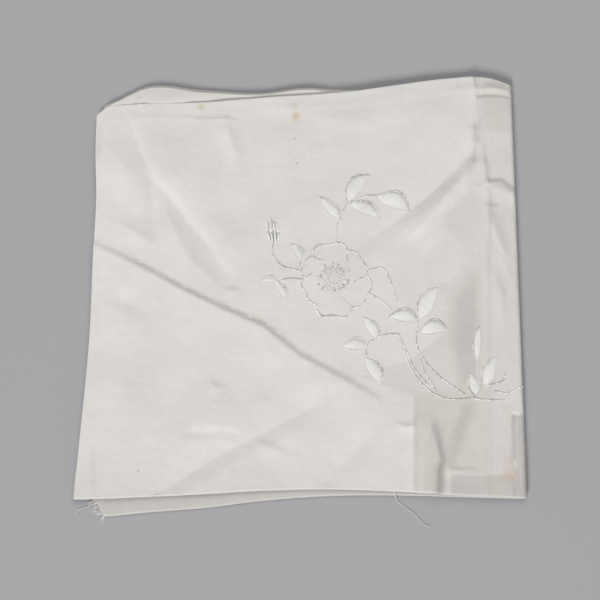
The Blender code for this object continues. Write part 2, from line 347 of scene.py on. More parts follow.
def settling(x, inside, from_top):
    """The share of its height that the stack keeps. inside is the distance from a free edge."""
    edge = SETTLE * (1 - smoothed(inside / SETTLE_REACH))
    corner = CORNER_SETTLE * (1 - smoothed(from_top / CORNER_SETTLE_REACH))
    corner = corner * (1 - smoothed((x - CORNER_FADE_START) / CORNER_FADE_LENGTH))
    return 1 - np.maximum(edge, corner)


def back_rise(x, y, settled):
    """How far the back pair rises past the front pair's top edge."""
    lead, rise = (np.interp(x, BACK_RISE_CHANGE, ends) for ends in (BACK_RISE_LEAD, BACK_RISE))
    past_front = smoothed((y - through(*FRONT_TOP, x) + lead) / BACK_RISE_RAMP)
    past_front = past_front * smoothed((BACK_RISE_END - x) / BACK_RISE_FADE)
    return rise * settled * past_front


# %% [markdown]
# ## The folding formula
# A bend turns a distance on the flat cloth into a place round a small circle and, past it, along a
# straight run. Two bends, one after the other, give the quarter square and the height of its layer.
# That square is then stretched until its sides meet the drawn ones. Each side depends on where the
# other coordinate is, so the stretching is repeated three times, after which it hardly changes.
# The inner layers stop a little short of the outer ones and follow the creases less.

# %% Fold
INNER_SHORT = 0.0015
INNER_RAMP = 0.1
INNER_RELIEF = 0.25


def turned(distance, radius, bend):
    """(distance past a bend's axis, height from it, facing from -1 to 1) of flat distances."""
    angle = np.clip(distance / bend, -math.pi / 2, math.pi / 2)
    past = np.maximum(np.abs(distance) - bend * math.pi / 2, 0) - radius * np.cos(angle)
    return past, radius * np.sin(angle), np.sin(angle)


def folded(across, along, offset):
    """Where points of the flat cloth lie once it is folded. offset is their height over its middle."""
    up, level, outer = turned(along, PAIR_BEND + offset, PAIR_BEND)
    past, height, front = turned(-across, STACK_BEND + level, STACK_BEND)
    outer, front = (1 + outer) / 2, (1 + front) / 2
    to_right = 1 - (STACK_REACH + past) / QUARTER
    upward = (PAIR_REACH + up) / FOLDED_HEIGHT
    inner_short = INNER_SHORT * (1 - outer)

    y = (upward - 0.5) * FOLDED_HEIGHT
    for _ in range(3):
        left_side = side_at(LEFT_SIDE, y, front) + inner_short * smoothed(upward / INNER_RAMP)
        x = left_side + to_right * (RIGHT_SIDE - left_side)
        bottom = side_at(BOTTOM_SIDE, x, front)
        top = side_at(TOP_SIDE, x, front) - inner_short
        y = bottom + upward * (top - bottom)

    from_top = (1 - upward) * QUARTER
    inside = np.minimum(to_right * QUARTER, from_top)
    hem_lift = (HEM - CLOTH) / 2 * (1 - smoothed((inside - HEM_WIDTH) / HEM_STEP))
    lifted = relief(x, y) * smoothed(2 * front - 1) * (INNER_RELIEF + (1 - INNER_RELIEF) * smoothed(outer))
    settled = settling(x, inside, from_top)
    rise = back_rise(x, y, settled) * smoothed(1 - 2 * front) * (1 - outer)
    z = CLOTH / 2 + (height + STACK_REACH - CLOTH / 2) * settled + hem_lift + lifted + rise
    return np.stack([x + MIDDLE.x, y + MIDDLE.y, z], axis=-1)


def flat_place(x, y):
    """The place on the flat cloth that lies at x, y in the top layer."""
    left_side = side_at(LEFT_SIDE, y, 1)
    bottom, top = side_at(BOTTOM_SIDE, x, 1), side_at(TOP_SIDE, x, 1)
    past = QUARTER * (1 - (x - left_side) / (RIGHT_SIDE - left_side)) - STACK_REACH
    up = FOLDED_HEIGHT * (y - bottom) / (top - bottom) - PAIR_REACH
    return -(past + STACK_BEND * math.pi / 2), up + PAIR_BEND * math.pi / 2


middle_place = [round(float(value) * 1000, 1) for value in flat_place(0.0, 0.0)]
print("the drawing's middle lies on the flat cloth at", middle_place, "mm")

# %% [markdown]
# ## Tools for the materials
# A material in Blender is a tree of nodes. Two short helpers build one: `add` makes a node, and
# either plugs another node's output into each input or writes a value there.

# %% Node helpers
def add(tree, kind, inputs=None, **settings):
    """Adds a node, with its settings and its inputs by name or number."""
    made = tree.nodes.new(kind)
    for name, value in settings.items():
        setattr(made, name, value)
    for name, value in (inputs or {}).items():
        if isinstance(value, bpy.types.NodeSocket):
            tree.links.new(value, made.inputs[name])
        else:
            made.inputs[name].default_value = value
    return made


def maths(tree, operation, *values):
    return add(tree, "ShaderNodeMath", dict(enumerate(values)), operation=operation).outputs[0]


def mixed(tree, factor, first, second, blend="MIX"):
    """Two colours mixed. In the Mix node the colour inputs are numbers 6 and 7."""
    made = add(tree, "ShaderNodeMix", {0: factor, 6: first, 7: second}, data_type="RGBA", blend_type=blend)
    return made.outputs[2]


def ranged(tree, value, low, high, to_low=0.0, to_high=1.0):
    made = add(tree, "ShaderNodeMapRange", {0: value, 1: low, 2: high, 3: to_low, 4: to_high}, clamp=True)
    return made.outputs[0]


def new_group(name, inputs, outputs):
    """An empty node group with named sockets: {name: (kind, default)} in, {name: kind} out."""
    group = bpy.data.node_groups.new(name, "ShaderNodeTree")
    for socket, (kind, default) in inputs.items():
        made = group.interface.new_socket(socket, in_out="INPUT", socket_type=kind)
        if default is not None:
            made.default_value = default
    for socket, kind in outputs.items():
        group.interface.new_socket(socket, in_out="OUTPUT", socket_type=kind)
    return group, add(group, "NodeGroupInput").outputs, add(group, "NodeGroupOutput").inputs


# %% [markdown]
# ## Plain weave
# In plain weave each thread goes over one and under the next, in both directions. Two sine waves
# multiplied give that chequer of small humps, with the holes between them where both are zero.
# The pattern follows the cloth's own flat coordinates, so it bends over the folds with it.

# %% Weave group
def weave_group():
    group, given, out = new_group(
        "plain weave",
        {"Flat Place": ("NodeSocketVector", None), "Threads per Metre": ("NodeSocketFloat", 2800.0)},
        {"Height": "NodeSocketFloat", "Hole": "NodeSocketFloat"},
    )
    place = add(group, "ShaderNodeSeparateXYZ", {0: given["Flat Place"]}).outputs
    turns = maths(group, "MULTIPLY", given["Threads per Metre"], math.pi)
    warp = maths(group, "SINE", maths(group, "MULTIPLY", place["X"], turns))
    weft = maths(group, "SINE", maths(group, "MULTIPLY", place["Y"], turns))
    hump = maths(group, "ABSOLUTE", maths(group, "MULTIPLY", warp, weft))
    group.links.new(maths(group, "POWER", hump, 0.6), out["Height"])
    group.links.new(ranged(group, hump, 0.0, 0.25, 1.0, 0.0), out["Hole"])
    return group


# %% [markdown]
# ## Slubs
# Flax is spun from fibres of uneven length, so a linen thread has thick places, called slubs, and
# they show as faint streaks along both threads. Noise that is stretched a hundred times longer
# one way than the other gives such streaks.

# %% Slub group
def slub_group():
    group, given, out = new_group(
        "slubs",
        {"Flat Place": ("NodeSocketVector", None), "Fineness": ("NodeSocketFloat", 2200.0)},
        {"Streaks": "NodeSocketFloat"},
    )
    streaks = []
    for stretch in ((1.0, 0.03, 1.0), (0.03, 1.0, 1.0)):
        sizes = {0: given["Flat Place"], 1: stretch}
        scaled = add(group, "ShaderNodeVectorMath", sizes, operation="MULTIPLY").outputs[0]
        noise_inputs = {"Vector": scaled, "Scale": given["Fineness"], "Detail": 2.0}
        grain = add(group, "ShaderNodeTexNoise", noise_inputs)
        streaks.append(ranged(group, grain.outputs["Fac"], 0.30, 0.70))
    group.links.new(maths(group, "MULTIPLY", maths(group, "ADD", *streaks), 0.5), out["Streaks"])
    return group


# %% [markdown]
# ## Stains
# Old linen has small rust and age spots. Each is a soft round patch whose edge a little noise makes
# ragged, at its own place on the flat cloth.

# %% Stain group
def stain_group():
    group, given, out = new_group(
        "stain",
        {"Flat Place": ("NodeSocketVector", None), "Centre": ("NodeSocketVector", None),
         "Radius": ("NodeSocketFloat", 0.002), "Ragged": ("NodeSocketFloat", 0.5)},
        {"Mask": "NodeSocketFloat"},
    )
    places = {0: given["Flat Place"], 1: given["Centre"]}
    away = add(group, "ShaderNodeVectorMath", places, operation="DISTANCE")
    grain = add(group, "ShaderNodeTexNoise", {"Vector": given["Flat Place"], "Scale": 900.0, "Detail": 3.0})
    uneven = maths(group, "MULTIPLY_ADD", grain.outputs["Fac"], given["Ragged"], 0.75)
    share = maths(group, "MULTIPLY", maths(group, "DIVIDE", away.outputs["Value"], given["Radius"]), uneven)
    group.links.new(ranged(group, share, 0.15, 1.0, 1.0, 0.0), out["Mask"])
    return group


# %% [markdown]
# ## Painted shade in the sharpest folds
# Where linen is folded sharply and stays so, the walls of the fold shade each other. The grid of the sheet
# is too coarse for such a line of shade, so the material paints it as a darker colour: the group measures
# how far a point is from a straight stretch and fades out at its width.

# %% Fold line group
def fold_shade_line_group():
    group, given, out = new_group(
        "fold line",
        {"Flat Place": ("NodeSocketVector", None), "Start": ("NodeSocketVector", None),
         "End": ("NodeSocketVector", None), "Width": ("NodeSocketFloat", 0.001)},
        {"Mask": "NodeSocketFloat"},
    )

    def vectors(operation, first, second):
        return add(group, "ShaderNodeVectorMath", {0: first, 1: second}, operation=operation).outputs

    past_start = vectors("SUBTRACT", given["Flat Place"], given["Start"])[0]
    run = vectors("SUBTRACT", given["End"], given["Start"])[0]
    along = vectors("DOT_PRODUCT", past_start, run)["Value"]
    share = maths(group, "DIVIDE", along, vectors("DOT_PRODUCT", run, run)["Value"])
    share = ranged(group, share, 0.0, 1.0)
    nearest = add(group, "ShaderNodeVectorMath", {0: run, "Scale": share}, operation="SCALE").outputs[0]
    away = vectors("DISTANCE", past_start, nearest)["Value"]
    grain = add(group, "ShaderNodeTexNoise", {"Vector": given["Flat Place"], "Scale": 500.0, "Detail": 3.0})
    uneven = maths(group, "MULTIPLY_ADD", grain.outputs["Fac"], 1.2, 0.4)
    ratio = maths(group, "MULTIPLY", maths(group, "DIVIDE", away, given["Width"]), uneven)
    faded = ranged(group, ratio, 0.0, 1.0, 1.0, 0.0)
    group.links.new(maths(group, "POWER", faded, 1.6), out["Mask"])
    return group


WEAVE, SLUBS, STAIN, FOLD_SHADE_LINE_GROUP = weave_group(), slub_group(), stain_group(), fold_shade_line_group()
print("node groups:", [group.name for group in (WEAVE, SLUBS, STAIN, FOLD_SHADE_LINE_GROUP)])

# %% [markdown]
# ## The stains and the painted fold shade
# The stains and the lines of painted shade in the sharpest folds lie where this cloth has them, so both are
# lists of places in the drawing, each with its size and strength. The pattern of the linen is laid on the
# flat cloth, and one function finds the flat place of a point in the drawing.

# %% Stains and fold lines
Stain = namedtuple("Stain", "x y radius colour strength")
STAINS = [
    Stain(-0.0476, 0.0958, 0.0026, (0.58, 0.50, 0.18, 1), 0.60),
    Stain(-0.0026, 0.0955, 0.0024, (0.62, 0.47, 0.22, 1), 0.40),
    Stain(-0.0019, 0.0908, 0.0027, (0.62, 0.42, 0.14, 1), 0.65),
    Stain(-0.0024, 0.0882, 0.0026, (0.66, 0.48, 0.24, 1), 0.35),
    Stain(-0.0014, 0.0661, 0.0011, (0.30, 0.28, 0.26, 1), 0.45),
    Stain(-0.0024, 0.0788, 0.0009, (0.34, 0.31, 0.28, 1), 0.40),
    Stain(-0.0048, 0.0711, 0.0008, (0.36, 0.33, 0.30, 1), 0.35),
    Stain(0.0777, -0.0411, 0.0060, (0.60, 0.56, 0.42, 1), 0.20),
    Stain(0.0941, -0.0765, 0.0034, (0.58, 0.44, 0.31, 1), 0.30),
    Stain(0.0942, -0.0825, 0.0044, (0.55, 0.40, 0.26, 1), 0.42),
    Stain(0.0868, -0.0872, 0.0060, (0.52, 0.45, 0.34, 1), 0.20),
    Stain(-0.0191, -0.0105, 0.0050, (0.66, 0.52, 0.40, 1), 0.25),
    Stain(-0.0730, -0.0807, 0.0007, (0.16, 0.15, 0.14, 1), 0.60),
    Stain(-0.0750, 0.0951, 0.0007, (0.30, 0.28, 0.26, 1), 0.35),
]
PaintedFoldShadeLine = namedtuple("PaintedFoldShadeLine", "width strength points")
# Lines of painted shade in the sharpest folds
PAINTED_FOLD_SHADE_LINES = [
    # Beside the upper end of the pressed crease, and the crushed strip beyond it
    PaintedFoldShadeLine(0.0025, 0.28, [(0.0838, 0.0850), (0.0835, 0.0753), (0.0826, 0.0675)]),
    PaintedFoldShadeLine(0.0015, 0.20, [(0.0881, 0.0690), (0.0885, 0.0600), (0.0900, 0.0572)]),
    PaintedFoldShadeLine(0.0024, 0.24, [(0.0900, 0.0570), (0.0948, 0.0560), (0.1005, 0.0518)]),
    PaintedFoldShadeLine(0.0034, 0.26, [(0.0925, 0.0552), (0.0990, 0.0522)]),
    PaintedFoldShadeLine(0.0015, 0.18, [(0.0888, 0.0448), (0.0925, 0.0448)]),
    PaintedFoldShadeLine(0.0012, 0.18, [(0.0890, 0.0427), (0.0894, 0.0279), (0.0902, 0.0255)]),
    PaintedFoldShadeLine(0.0024, 0.08, [(0.0902, 0.0255), (0.0980, 0.0133), (0.1018, 0.0020)]),
    # Under the end of the top hem, and over it
    PaintedFoldShadeLine(0.0016, 0.50, [(0.0858, 0.1003), (0.0999, 0.0999)]),
    PaintedFoldShadeLine(0.0016, 0.25, [(0.0838, 0.1104), (0.0848, 0.1060)]),
    PaintedFoldShadeLine(0.0022, 0.20, [(0.0900, 0.1080), (0.0985, 0.1066)]),
    PaintedFoldShadeLine(0.0040, 0.16, [(0.0767, 0.1062), (0.0830, 0.1062)]),
    PaintedFoldShadeLine(0.0014, 0.22, [(-0.0500, 0.0899), (-0.0345, 0.0899)]),
    # The V at the lower right, and the gap in the fold beside it
    PaintedFoldShadeLine(0.0022, 0.22, [(0.0604, -0.0605), (0.0630, -0.0700), (0.0648, -0.0765), (0.0625, -0.0805)]),
    PaintedFoldShadeLine(0.0034, 0.48, [(0.0628, -0.0790), (0.0617, -0.0905)]),
    PaintedFoldShadeLine(0.0050, 0.22, [(0.0765, -0.0531), (0.0672, -0.0778)]),
    PaintedFoldShadeLine(0.0016, 0.38, [(0.0972, -0.0562), (0.0970, -0.0750)]),
    PaintedFoldShadeLine(0.0015, 0.30, [(0.0972, -0.0558), (0.1015, -0.0556)]),
    # The lower end of the left hem, and a small hooked crinkle
    PaintedFoldShadeLine(0.0018, 0.10, [(-0.0941, -0.0696), (-0.0924, -0.0905)]),
    PaintedFoldShadeLine(0.0030, 0.12, [(-0.0966, 0.0810), (-0.0962, 0.0700)]),
    PaintedFoldShadeLine(0.0012, 0.20, [(0.0436, -0.0586), (0.0481, -0.0606), (0.0527, -0.0595)]),
]


def on_uv(x, y):
    """The place of a point of the top layer in the linen's pattern."""
    across, along = flat_place(x, y)
    return across + CUT / 2, along + CUT / 2, 0


print(len(STAINS), "stains and", len(PAINTED_FOLD_SHADE_LINES), "fold lines")

# %% [markdown]
# ## The linen
# Clean linen is an off-white that is a little warm. It is thin, so it looks greyer where fewer layers lie
# under it, and shade is painted into its hollows and folds. The mesh carries both as one value at each
# point, named `sheer_and_shade`, and how close the stitches are as another, named `drawn`, which is painted
# shade beside them. The material darkens both, lays the streaks, the stains and the painted shade of the
# sharpest folds over them, and raises the weave and a fine crinkle with bumps.

# %% Linen material
LINEN_LIGHT = (0.747, 0.730, 0.710, 1)
LINEN_GREY = (0.600, 0.572, 0.535, 1)
# The colour of deep painted shade, reached where sheer_and_shade passes 1
LINEN_PAINTED_SHADE = (0.265, 0.272, 0.292, 1)
# The colour of the painted shade in the sharpest folds
PAINTED_FOLD_SHADE_COLOUR = (0.230, 0.212, 0.190, 1)
STREAK_STRENGTH = 0.10
MOTTLE_STRENGTH = 0.26
# How dark the painted shade beside the stitches is
PAINTED_STITCH_SHADE_STRENGTH = 0.22
HOLE_STRENGTH = 0.20


def linen_material():
    material = bpy.data.materials.new("washed linen")
    material.use_nodes = True
    tree = material.node_tree
    shader = tree.nodes["Principled BSDF"]
    flat = add(tree, "ShaderNodeUVMap", uv_map="flat").outputs[0]
    flat = add(tree, "ShaderNodeVectorMath", {0: flat, "Scale": CUT}, operation="SCALE").outputs[0]
    sheer_and_shade = add(tree, "ShaderNodeAttribute", attribute_name="sheer_and_shade").outputs["Fac"]
    drawn = add(tree, "ShaderNodeAttribute", attribute_name="drawn").outputs["Fac"]
    weave = add(tree, "ShaderNodeGroup", {"Flat Place": flat}, node_tree=WEAVE).outputs
    slubs = add(tree, "ShaderNodeGroup", {"Flat Place": flat}, node_tree=SLUBS).outputs["Streaks"]
    mottle = add(tree, "ShaderNodeTexNoise", {"Vector": flat, "Scale": 55.0, "Detail": 4.0}).outputs["Fac"]

    # Greyer where the cloth is sheer, and on towards the painted shade colour above 1
    colour = mixed(tree, ranged(tree, sheer_and_shade, 0.0, 1.0), LINEN_LIGHT, LINEN_GREY)
    colour = mixed(tree, ranged(tree, sheer_and_shade, 1.0, 2.0), colour, LINEN_PAINTED_SHADE)
    streaked = mixed(tree, ranged(tree, slubs, 0.2, 0.8, STREAK_STRENGTH, 0.0), colour, LINEN_GREY)
    mottled = mixed(tree, ranged(tree, mottle, 0.35, 0.70, MOTTLE_STRENGTH, 0.0), streaked, LINEN_GREY)
    # The value drawn is painted shade beside the stitches
    shaded = mixed(tree, maths(tree, "MULTIPLY", drawn, PAINTED_STITCH_SHADE_STRENGTH), mottled, LINEN_GREY)
    shaded = mixed(tree, maths(tree, "MULTIPLY", weave["Hole"], HOLE_STRENGTH), shaded, LINEN_GREY)
    for stain in STAINS:
        values = {"Flat Place": flat, "Centre": on_uv(stain.x, stain.y), "Radius": stain.radius}
        mask = add(tree, "ShaderNodeGroup", values, node_tree=STAIN).outputs["Mask"]
        shaded = mixed(tree, maths(tree, "MULTIPLY", mask, stain.strength), shaded, stain.colour)
    # Painted shade in the sharpest folds
    for line in PAINTED_FOLD_SHADE_LINES:
        darkest = 0.0
        for start, end in zip(line.points, line.points[1:]):
            values = {"Flat Place": flat, "Start": on_uv(*start), "End": on_uv(*end), "Width": line.width}
            mask = add(tree, "ShaderNodeGroup", values, node_tree=FOLD_SHADE_LINE_GROUP).outputs["Mask"]
            darkest = maths(tree, "MAXIMUM", darkest, mask)
        shaded = mixed(tree, maths(tree, "MULTIPLY", darkest, line.strength), shaded, PAINTED_FOLD_SHADE_COLOUR)
    tree.links.new(shaded, shader.inputs["Base Color"])

    crinkle = add(tree, "ShaderNodeTexNoise", {"Vector": flat, "Scale": 240.0, "Detail": 5.0}).outputs["Fac"]
    soft = add(tree, "ShaderNodeBump", {"Height": crinkle, "Distance": 0.0004, "Strength": 0.5}).outputs[0]
    threads = maths(tree, "ADD", weave["Height"], maths(tree, "MULTIPLY", slubs, 0.8))
    relief_inputs = {"Height": threads, "Distance": 0.00008, "Strength": 0.6, "Normal": soft}
    tree.links.new(add(tree, "ShaderNodeBump", relief_inputs).outputs[0], shader.inputs["Normal"])
    tree.links.new(ranged(tree, slubs, 0.2, 0.8, 0.92, 0.80), shader.inputs["Roughness"])
    shader.inputs["Specular IOR Level"].default_value = 0.25
    shader.inputs["Sheen Weight"].default_value = 0.12
    shader.inputs["Sheen Roughness"].default_value = 0.5
    return material


linen = linen_material()
print("linen has", len(linen.node_tree.nodes), "nodes")

# %% [markdown]
# ## The sheet
# The sheet is a flat grid. It gets its thickness while it is flat, its top layer is cut finer,
# because the creases show there, and only then is each of its points folded. Its rows are close
# together in the bends and in the hem, and wide apart between them.

# %% Rows of the grid
GRID_STEP = 0.0044
TOP_CUTS = 4
BEND_ROWS = 3
HEM_ROUND = 0.0007


def side_rows(half_cut, bend):
    """Distances from a bend's middle to a free edge, one for each row of the grid."""
    arc, hem_start = bend * math.pi / 2, half_cut - HEM_WIDTH
    count = round((hem_start - arc) / GRID_STEP)
    hem = [hem_start + HEM_STEP, hem_start + HEM_WIDTH / 2, half_cut - HEM_ROUND, half_cut]
    return [*np.linspace(0, arc, BEND_ROWS + 1)[:-1], *np.linspace(arc, hem_start, count + 1), *hem]


def all_rows(half_cut, bend):
    rows = side_rows(half_cut, bend)
    return np.array([-row for row in reversed(rows[1:])] + rows)


COLUMNS = all_rows(HALF_ACROSS, STACK_BEND)
ROWS = all_rows(HALF_ALONG, PAIR_BEND)
print("grid of", len(COLUMNS), "by", len(ROWS))

# %% [markdown]
# ## Where the cloth looks greyer, and where shade is painted
# The inner layers end in a slanting line below the flowers, and right of it the top layer has less behind
# it, so the sheer cloth looks greyer. Patches like that are outlines in the drawing, each with a strength
# and the width of its soft edge. The same value also carries painted shade: small patches paint shade into
# the hollows and round the rose's dense middle, the last two, which are wide and weak, paint shade over the
# lower and the right-hand part, and a strength above 1 goes on towards the colour of deep painted shade.
# Where patches overlap, the strongest counts.

# %% Sheer patches
ROSE_CENTRE = np.array((0.0158, 0.0090))
ROSE_SHADE_RADIUS = 0.0078
SHEER_AND_SHADE_PATCHES = [
    (0.70, 0.0012, [(0.0275, -0.0377), (0.0390, -0.0330), (0.0505, -0.0302), (0.0538, -0.0269),
                    (0.0655, -0.0179), (0.0666, -0.0108), (0.0860, -0.0108), (0.0850, -0.0500),
                    (0.0519, -0.0461)]),
    (0.92, 0.0012, [(0.0520, -0.0461), (0.0510, -0.0960), (0.0842, -0.0960), (0.0860, -0.0400)]),
    (1.10, 0.0090, [(0.0520, -0.1000), (0.0530, -0.0700), (0.0600, -0.0540), (0.0705, -0.0560),
                    (0.0695, -0.0800), (0.0670, -0.1000)]),
    (0.85, 0.0040, [(0.0905, -0.0490), (0.0985, -0.0490), (0.0985, -0.0570), (0.0950, -0.0640)]),
    (1.22, 0.0140, [(0.0700, -0.0460), (0.0680, -0.0330), (0.0668, -0.0179), (0.0682, -0.0012),
                    (0.0721, 0.0060), (0.0800, 0.0130), (0.0862, 0.0160), (0.0862, -0.0330),
                    (0.0820, -0.0460)]),
    (1.25, 0.0012, [(0.0675, -0.0823), (0.0990, -0.0828), (0.0990, -0.0980), (0.0673, -0.0980)]),
    (1.40, 0.0012, [(0.0968, -0.0556), (0.1050, -0.0556), (0.1050, -0.0760), (0.0966, -0.0760)]),
    (1.45, 0.0030, [(0.0985, -0.0750), (0.1050, -0.0750), (0.1050, -0.0980), (0.0975, -0.0980)]),
    (0.40, 0.0060, [(0.0560, 0.0200), (0.0700, 0.0330), (0.0870, 0.0330), (0.0870, -0.0300),
                    (0.0600, -0.0100)]),
    (0.60, 0.0030, [(0.0872, 0.1130), (0.1050, 0.1130), (0.1050, -0.0980), (0.0842, -0.0980)]),
    (0.85, 0.0080, [(0.0850, 0.1130), (0.1050, 0.1130), (0.1050, 0.0800), (0.0870, 0.0800)]),
    (0.25, 0.0060, [(0.0600, 0.0990), (0.0850, 0.0990), (0.0850, 0.0600), (0.0700, 0.0750)]),
    (0.60, 0.0045, [(0.0790, 0.0770), (0.0790, 0.0518), (0.0669, 0.0412), (0.0685, 0.0313),
                    (0.0754, 0.0244), (0.0732, 0.0121), (0.0900, 0.0121), (0.0900, 0.0770)]),
    # Painted shade round the rose's dense middle
    (0.52, 0.0070, [(ROSE_CENTRE[0] + ROSE_SHADE_RADIUS * math.cos(turn),
                     ROSE_CENTRE[1] + ROSE_SHADE_RADIUS * math.sin(turn)) for turn in range(6)]),
    # Two wide, weak patches of painted shade over the lower and the right-hand part
    (0.45, 0.0500, [(-0.1250, -0.1250), (0.0520, -0.1250), (0.0520, -0.0760), (-0.1250, -0.0760)]),
    (0.18, 0.0800, [(-0.1250, -0.1250), (0.1250, -0.1250), (0.1250, 0.1250), (0.0400, 0.1250),
                    (-0.1250, -0.0200)]),
]


def sheer_and_shade_at(x, y):
    """How grey the top layer looks, as sheer cloth and painted shade: 0 is plain linen, 1 grey and 2 the
    deepest painted shade.
    """
    grey = np.zeros_like(x)
    for strength, softness, outline in SHEER_AND_SHADE_PATCHES:
        inside, away = np.zeros(x.shape, bool), np.full_like(x, np.inf)
        for (x0, y0), (x1, y1) in zip(outline, outline[1:] + outline[:1]):
            away = np.minimum(away, to_stretch(x, y, (x0, y0), (x1, y1))[1])
            crosses = (y0 > y) != (y1 > y)
            rise = y1 - y0 if y1 != y0 else 1.0
            inside ^= crosses & (x < x0 + (y - y0) * (x1 - x0) / rise)
        signed = np.where(inside, away, -away)
        grey = np.maximum(grey, strength * smoothed(0.5 + signed / softness))
    return grey


print(len(SHEER_AND_SHADE_PATCHES), "sheer patches")

# %% [markdown]
# ## What every piece needs
# Each finished piece gets its material and smooth shading, and rides on the model's one body. One function
# does all of it. Another turns a closed shell's faces outwards, because a fold or a mirror can leave them
# inside out.

# %% Finished pieces
def add_piece(name, mesh, material):
    """A finished piece of the handkerchief: it rides on the model's one body."""
    mesh.materials.clear()
    mesh.materials.append(material)
    mesh.polygons.foreach_set("use_smooth", [True] * len(mesh.polygons))
    piece = bpy.data.objects.new(name, mesh)
    bpy.context.scene.collection.objects.link(piece)
    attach(piece, "root")
    return piece


def facing_out(mesh, merge_within=0.0):
    """Points every face outwards, and merges points that lie this close together first."""
    bm = bmesh.new()
    bm.from_mesh(mesh)
    if merge_within:
        bmesh.ops.remove_doubles(bm, verts=bm.verts[:], dist=merge_within)
    bmesh.ops.recalc_face_normals(bm, faces=bm.faces[:])
    bm.to_mesh(mesh)
    bm.free()


# %% [markdown]
# ## The flat sheet
# The hem is three layers of cloth pressed together, so the sheet is thicker there, and its very
# edge is rounded. Solidify makes a closed shell of the grid, 1 unit thick, and the real thickness
# is put in when the points are folded.

# %% Flat sheet
HEM_EDGE_SHARE = 0.55


def thickness_at(across, along):
    """The cloth's thickness: plain, or three layers in a hem, rounded off at the very edge."""
    inside = np.minimum(HALF_ACROSS - np.abs(across), HALF_ALONG - np.abs(along))
    hemmed = CLOTH + (HEM - CLOTH) * (1 - smoothed((inside - HEM_WIDTH + HEM_STEP) / HEM_STEP))
    return hemmed * np.where(inside < HEM_ROUND / 2, HEM_EDGE_SHARE, 1.0)


def sheet_mesh():
    """The flat cloth, 1 unit thick, with its top layer's upper face cut finer."""
    bm = bmesh.new()
    bmesh.ops.create_grid(bm, x_segments=len(COLUMNS) - 1, y_segments=len(ROWS) - 1, size=0.5)
    for vert in bm.verts:
        vert.co.x = COLUMNS[round((vert.co.x + 0.5) * (len(COLUMNS) - 1))]
        vert.co.y = ROWS[round((vert.co.y + 0.5) * (len(ROWS) - 1))]
    bmesh.ops.solidify(bm, geom=bm.faces[:], thickness=1)
    upper = max(vert.co.z for vert in bm.verts) - 0.5
    middles = [(face, face.calc_center_median()) for face in bm.faces]
    top = [face for face, middle in middles if middle.z > upper and middle.x < 0 and middle.y > 0]
    edges = list({edge for face in top for edge in face.edges})
    bmesh.ops.subdivide_edges(bm, edges=edges, cuts=TOP_CUTS, use_grid_fill=True)
    mesh = bpy.data.meshes.new("folded_linen")
    bm.to_mesh(mesh)
    bm.free()
    return mesh


cloth_mesh = sheet_mesh()
print("sheet:", len(cloth_mesh.vertices), "points,", len(cloth_mesh.polygons), "faces")

# %% [markdown]
# ## Folding the sheet
# Every point goes through the folding formula, and its flat place becomes its UV place, for the weave. The
# value `sheer_and_shade` is written at the same time: from the patches on the top layer, painted shade at
# its bottom fold, a little greyer in the hem, and painted shade on the layers below, which get less light in
# their folds. The back pair is greyer as sheer cloth, and its lower part reaches into the painted shade
# colour.

# %% Folded sheet
HEM_SHEER = 0.06
BOTTOM_FOLD_PAINTED_SHADE = 1.2
BOTTOM_FOLD_SHADE_REACH = 0.0022
UNDER_PAINTED_SHADE = 0.4
UNDER_FOLD_PAINTED_SHADE = 1.9
# The back pair of layers, at its lower and at its upper end: sheer grey, and painted shade above 1
BACK_SHEER_AND_SHADE = (1.30, 0.60)
BACK_SHEER_AND_SHADE_ENDS = (-0.09, 0.09)


def fold_sheet(mesh):
    """Folds the flat mesh, and keeps each point's flat place as its UV place."""
    points = np.empty(len(mesh.vertices) * 3, np.float32)
    mesh.vertices.foreach_get("co", points)
    across, along, level = points.reshape(-1, 3).T.astype(float)
    side = np.where(level > level.mean(), 0.5, -0.5)
    places = folded(across, along, side * thickness_at(across, along))
    mesh.vertices.foreach_set("co", places.ravel())

    corners = np.empty(len(mesh.loops), np.int32)
    mesh.loops.foreach_get("vertex_index", corners)
    flat = np.stack([across / CUT + 0.5, along / CUT + 0.5], axis=-1)[corners]
    mesh.uv_layers.new(name="flat").data.foreach_set("uv", flat.ravel())
    x, y = places[:, 0] - MIDDLE.x, places[:, 1] - MIDDLE.y
    hem = HEM_SHEER * (1 - smoothed((HALF_ALONG - np.abs(along) - HEM_WIDTH) / HEM_STEP))
    # Painted shade at the top layer's bottom fold
    fold = BOTTOM_FOLD_PAINTED_SHADE * (1 - smoothed(along / BOTTOM_FOLD_SHADE_REACH))
    top = np.maximum(np.maximum(sheer_and_shade_at(x, y), hem), fold)
    back = np.interp(y, BACK_SHEER_AND_SHADE_ENDS, BACK_SHEER_AND_SHADE)
    under = np.where(along > -BOTTOM_FOLD_SHADE_REACH, UNDER_FOLD_PAINTED_SHADE, UNDER_PAINTED_SHADE)
    sheer_and_shade = np.where(across > 0, back, np.where(along > 0, top, under))
    mesh.attributes.new("sheer_and_shade", "FLOAT", "POINT").data.foreach_set("value", sheer_and_shade)
    # drawn: painted shade beside the stitches, filled in further on
    mesh.attributes.new("drawn", "FLOAT", "POINT")
    return across, along


CLOTH_ACROSS, CLOTH_ALONG = fold_sheet(cloth_mesh)
facing_out(cloth_mesh)
cloth = add_piece("folded_linen", cloth_mesh, linen)
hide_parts("handkerchief")
print("folded height:", round(max(vert.co.z for vert in cloth_mesh.vertices) * 1000, 2), "mm")

# %% [markdown]
# ## One stitch
# A stitch is a short length of thread that comes up through the cloth, bridges over it and goes
# down again. More than a thousand curves would be slow, so one thread of a few faces is modelled,
# and an Array modifier repeats it once for each stitch.

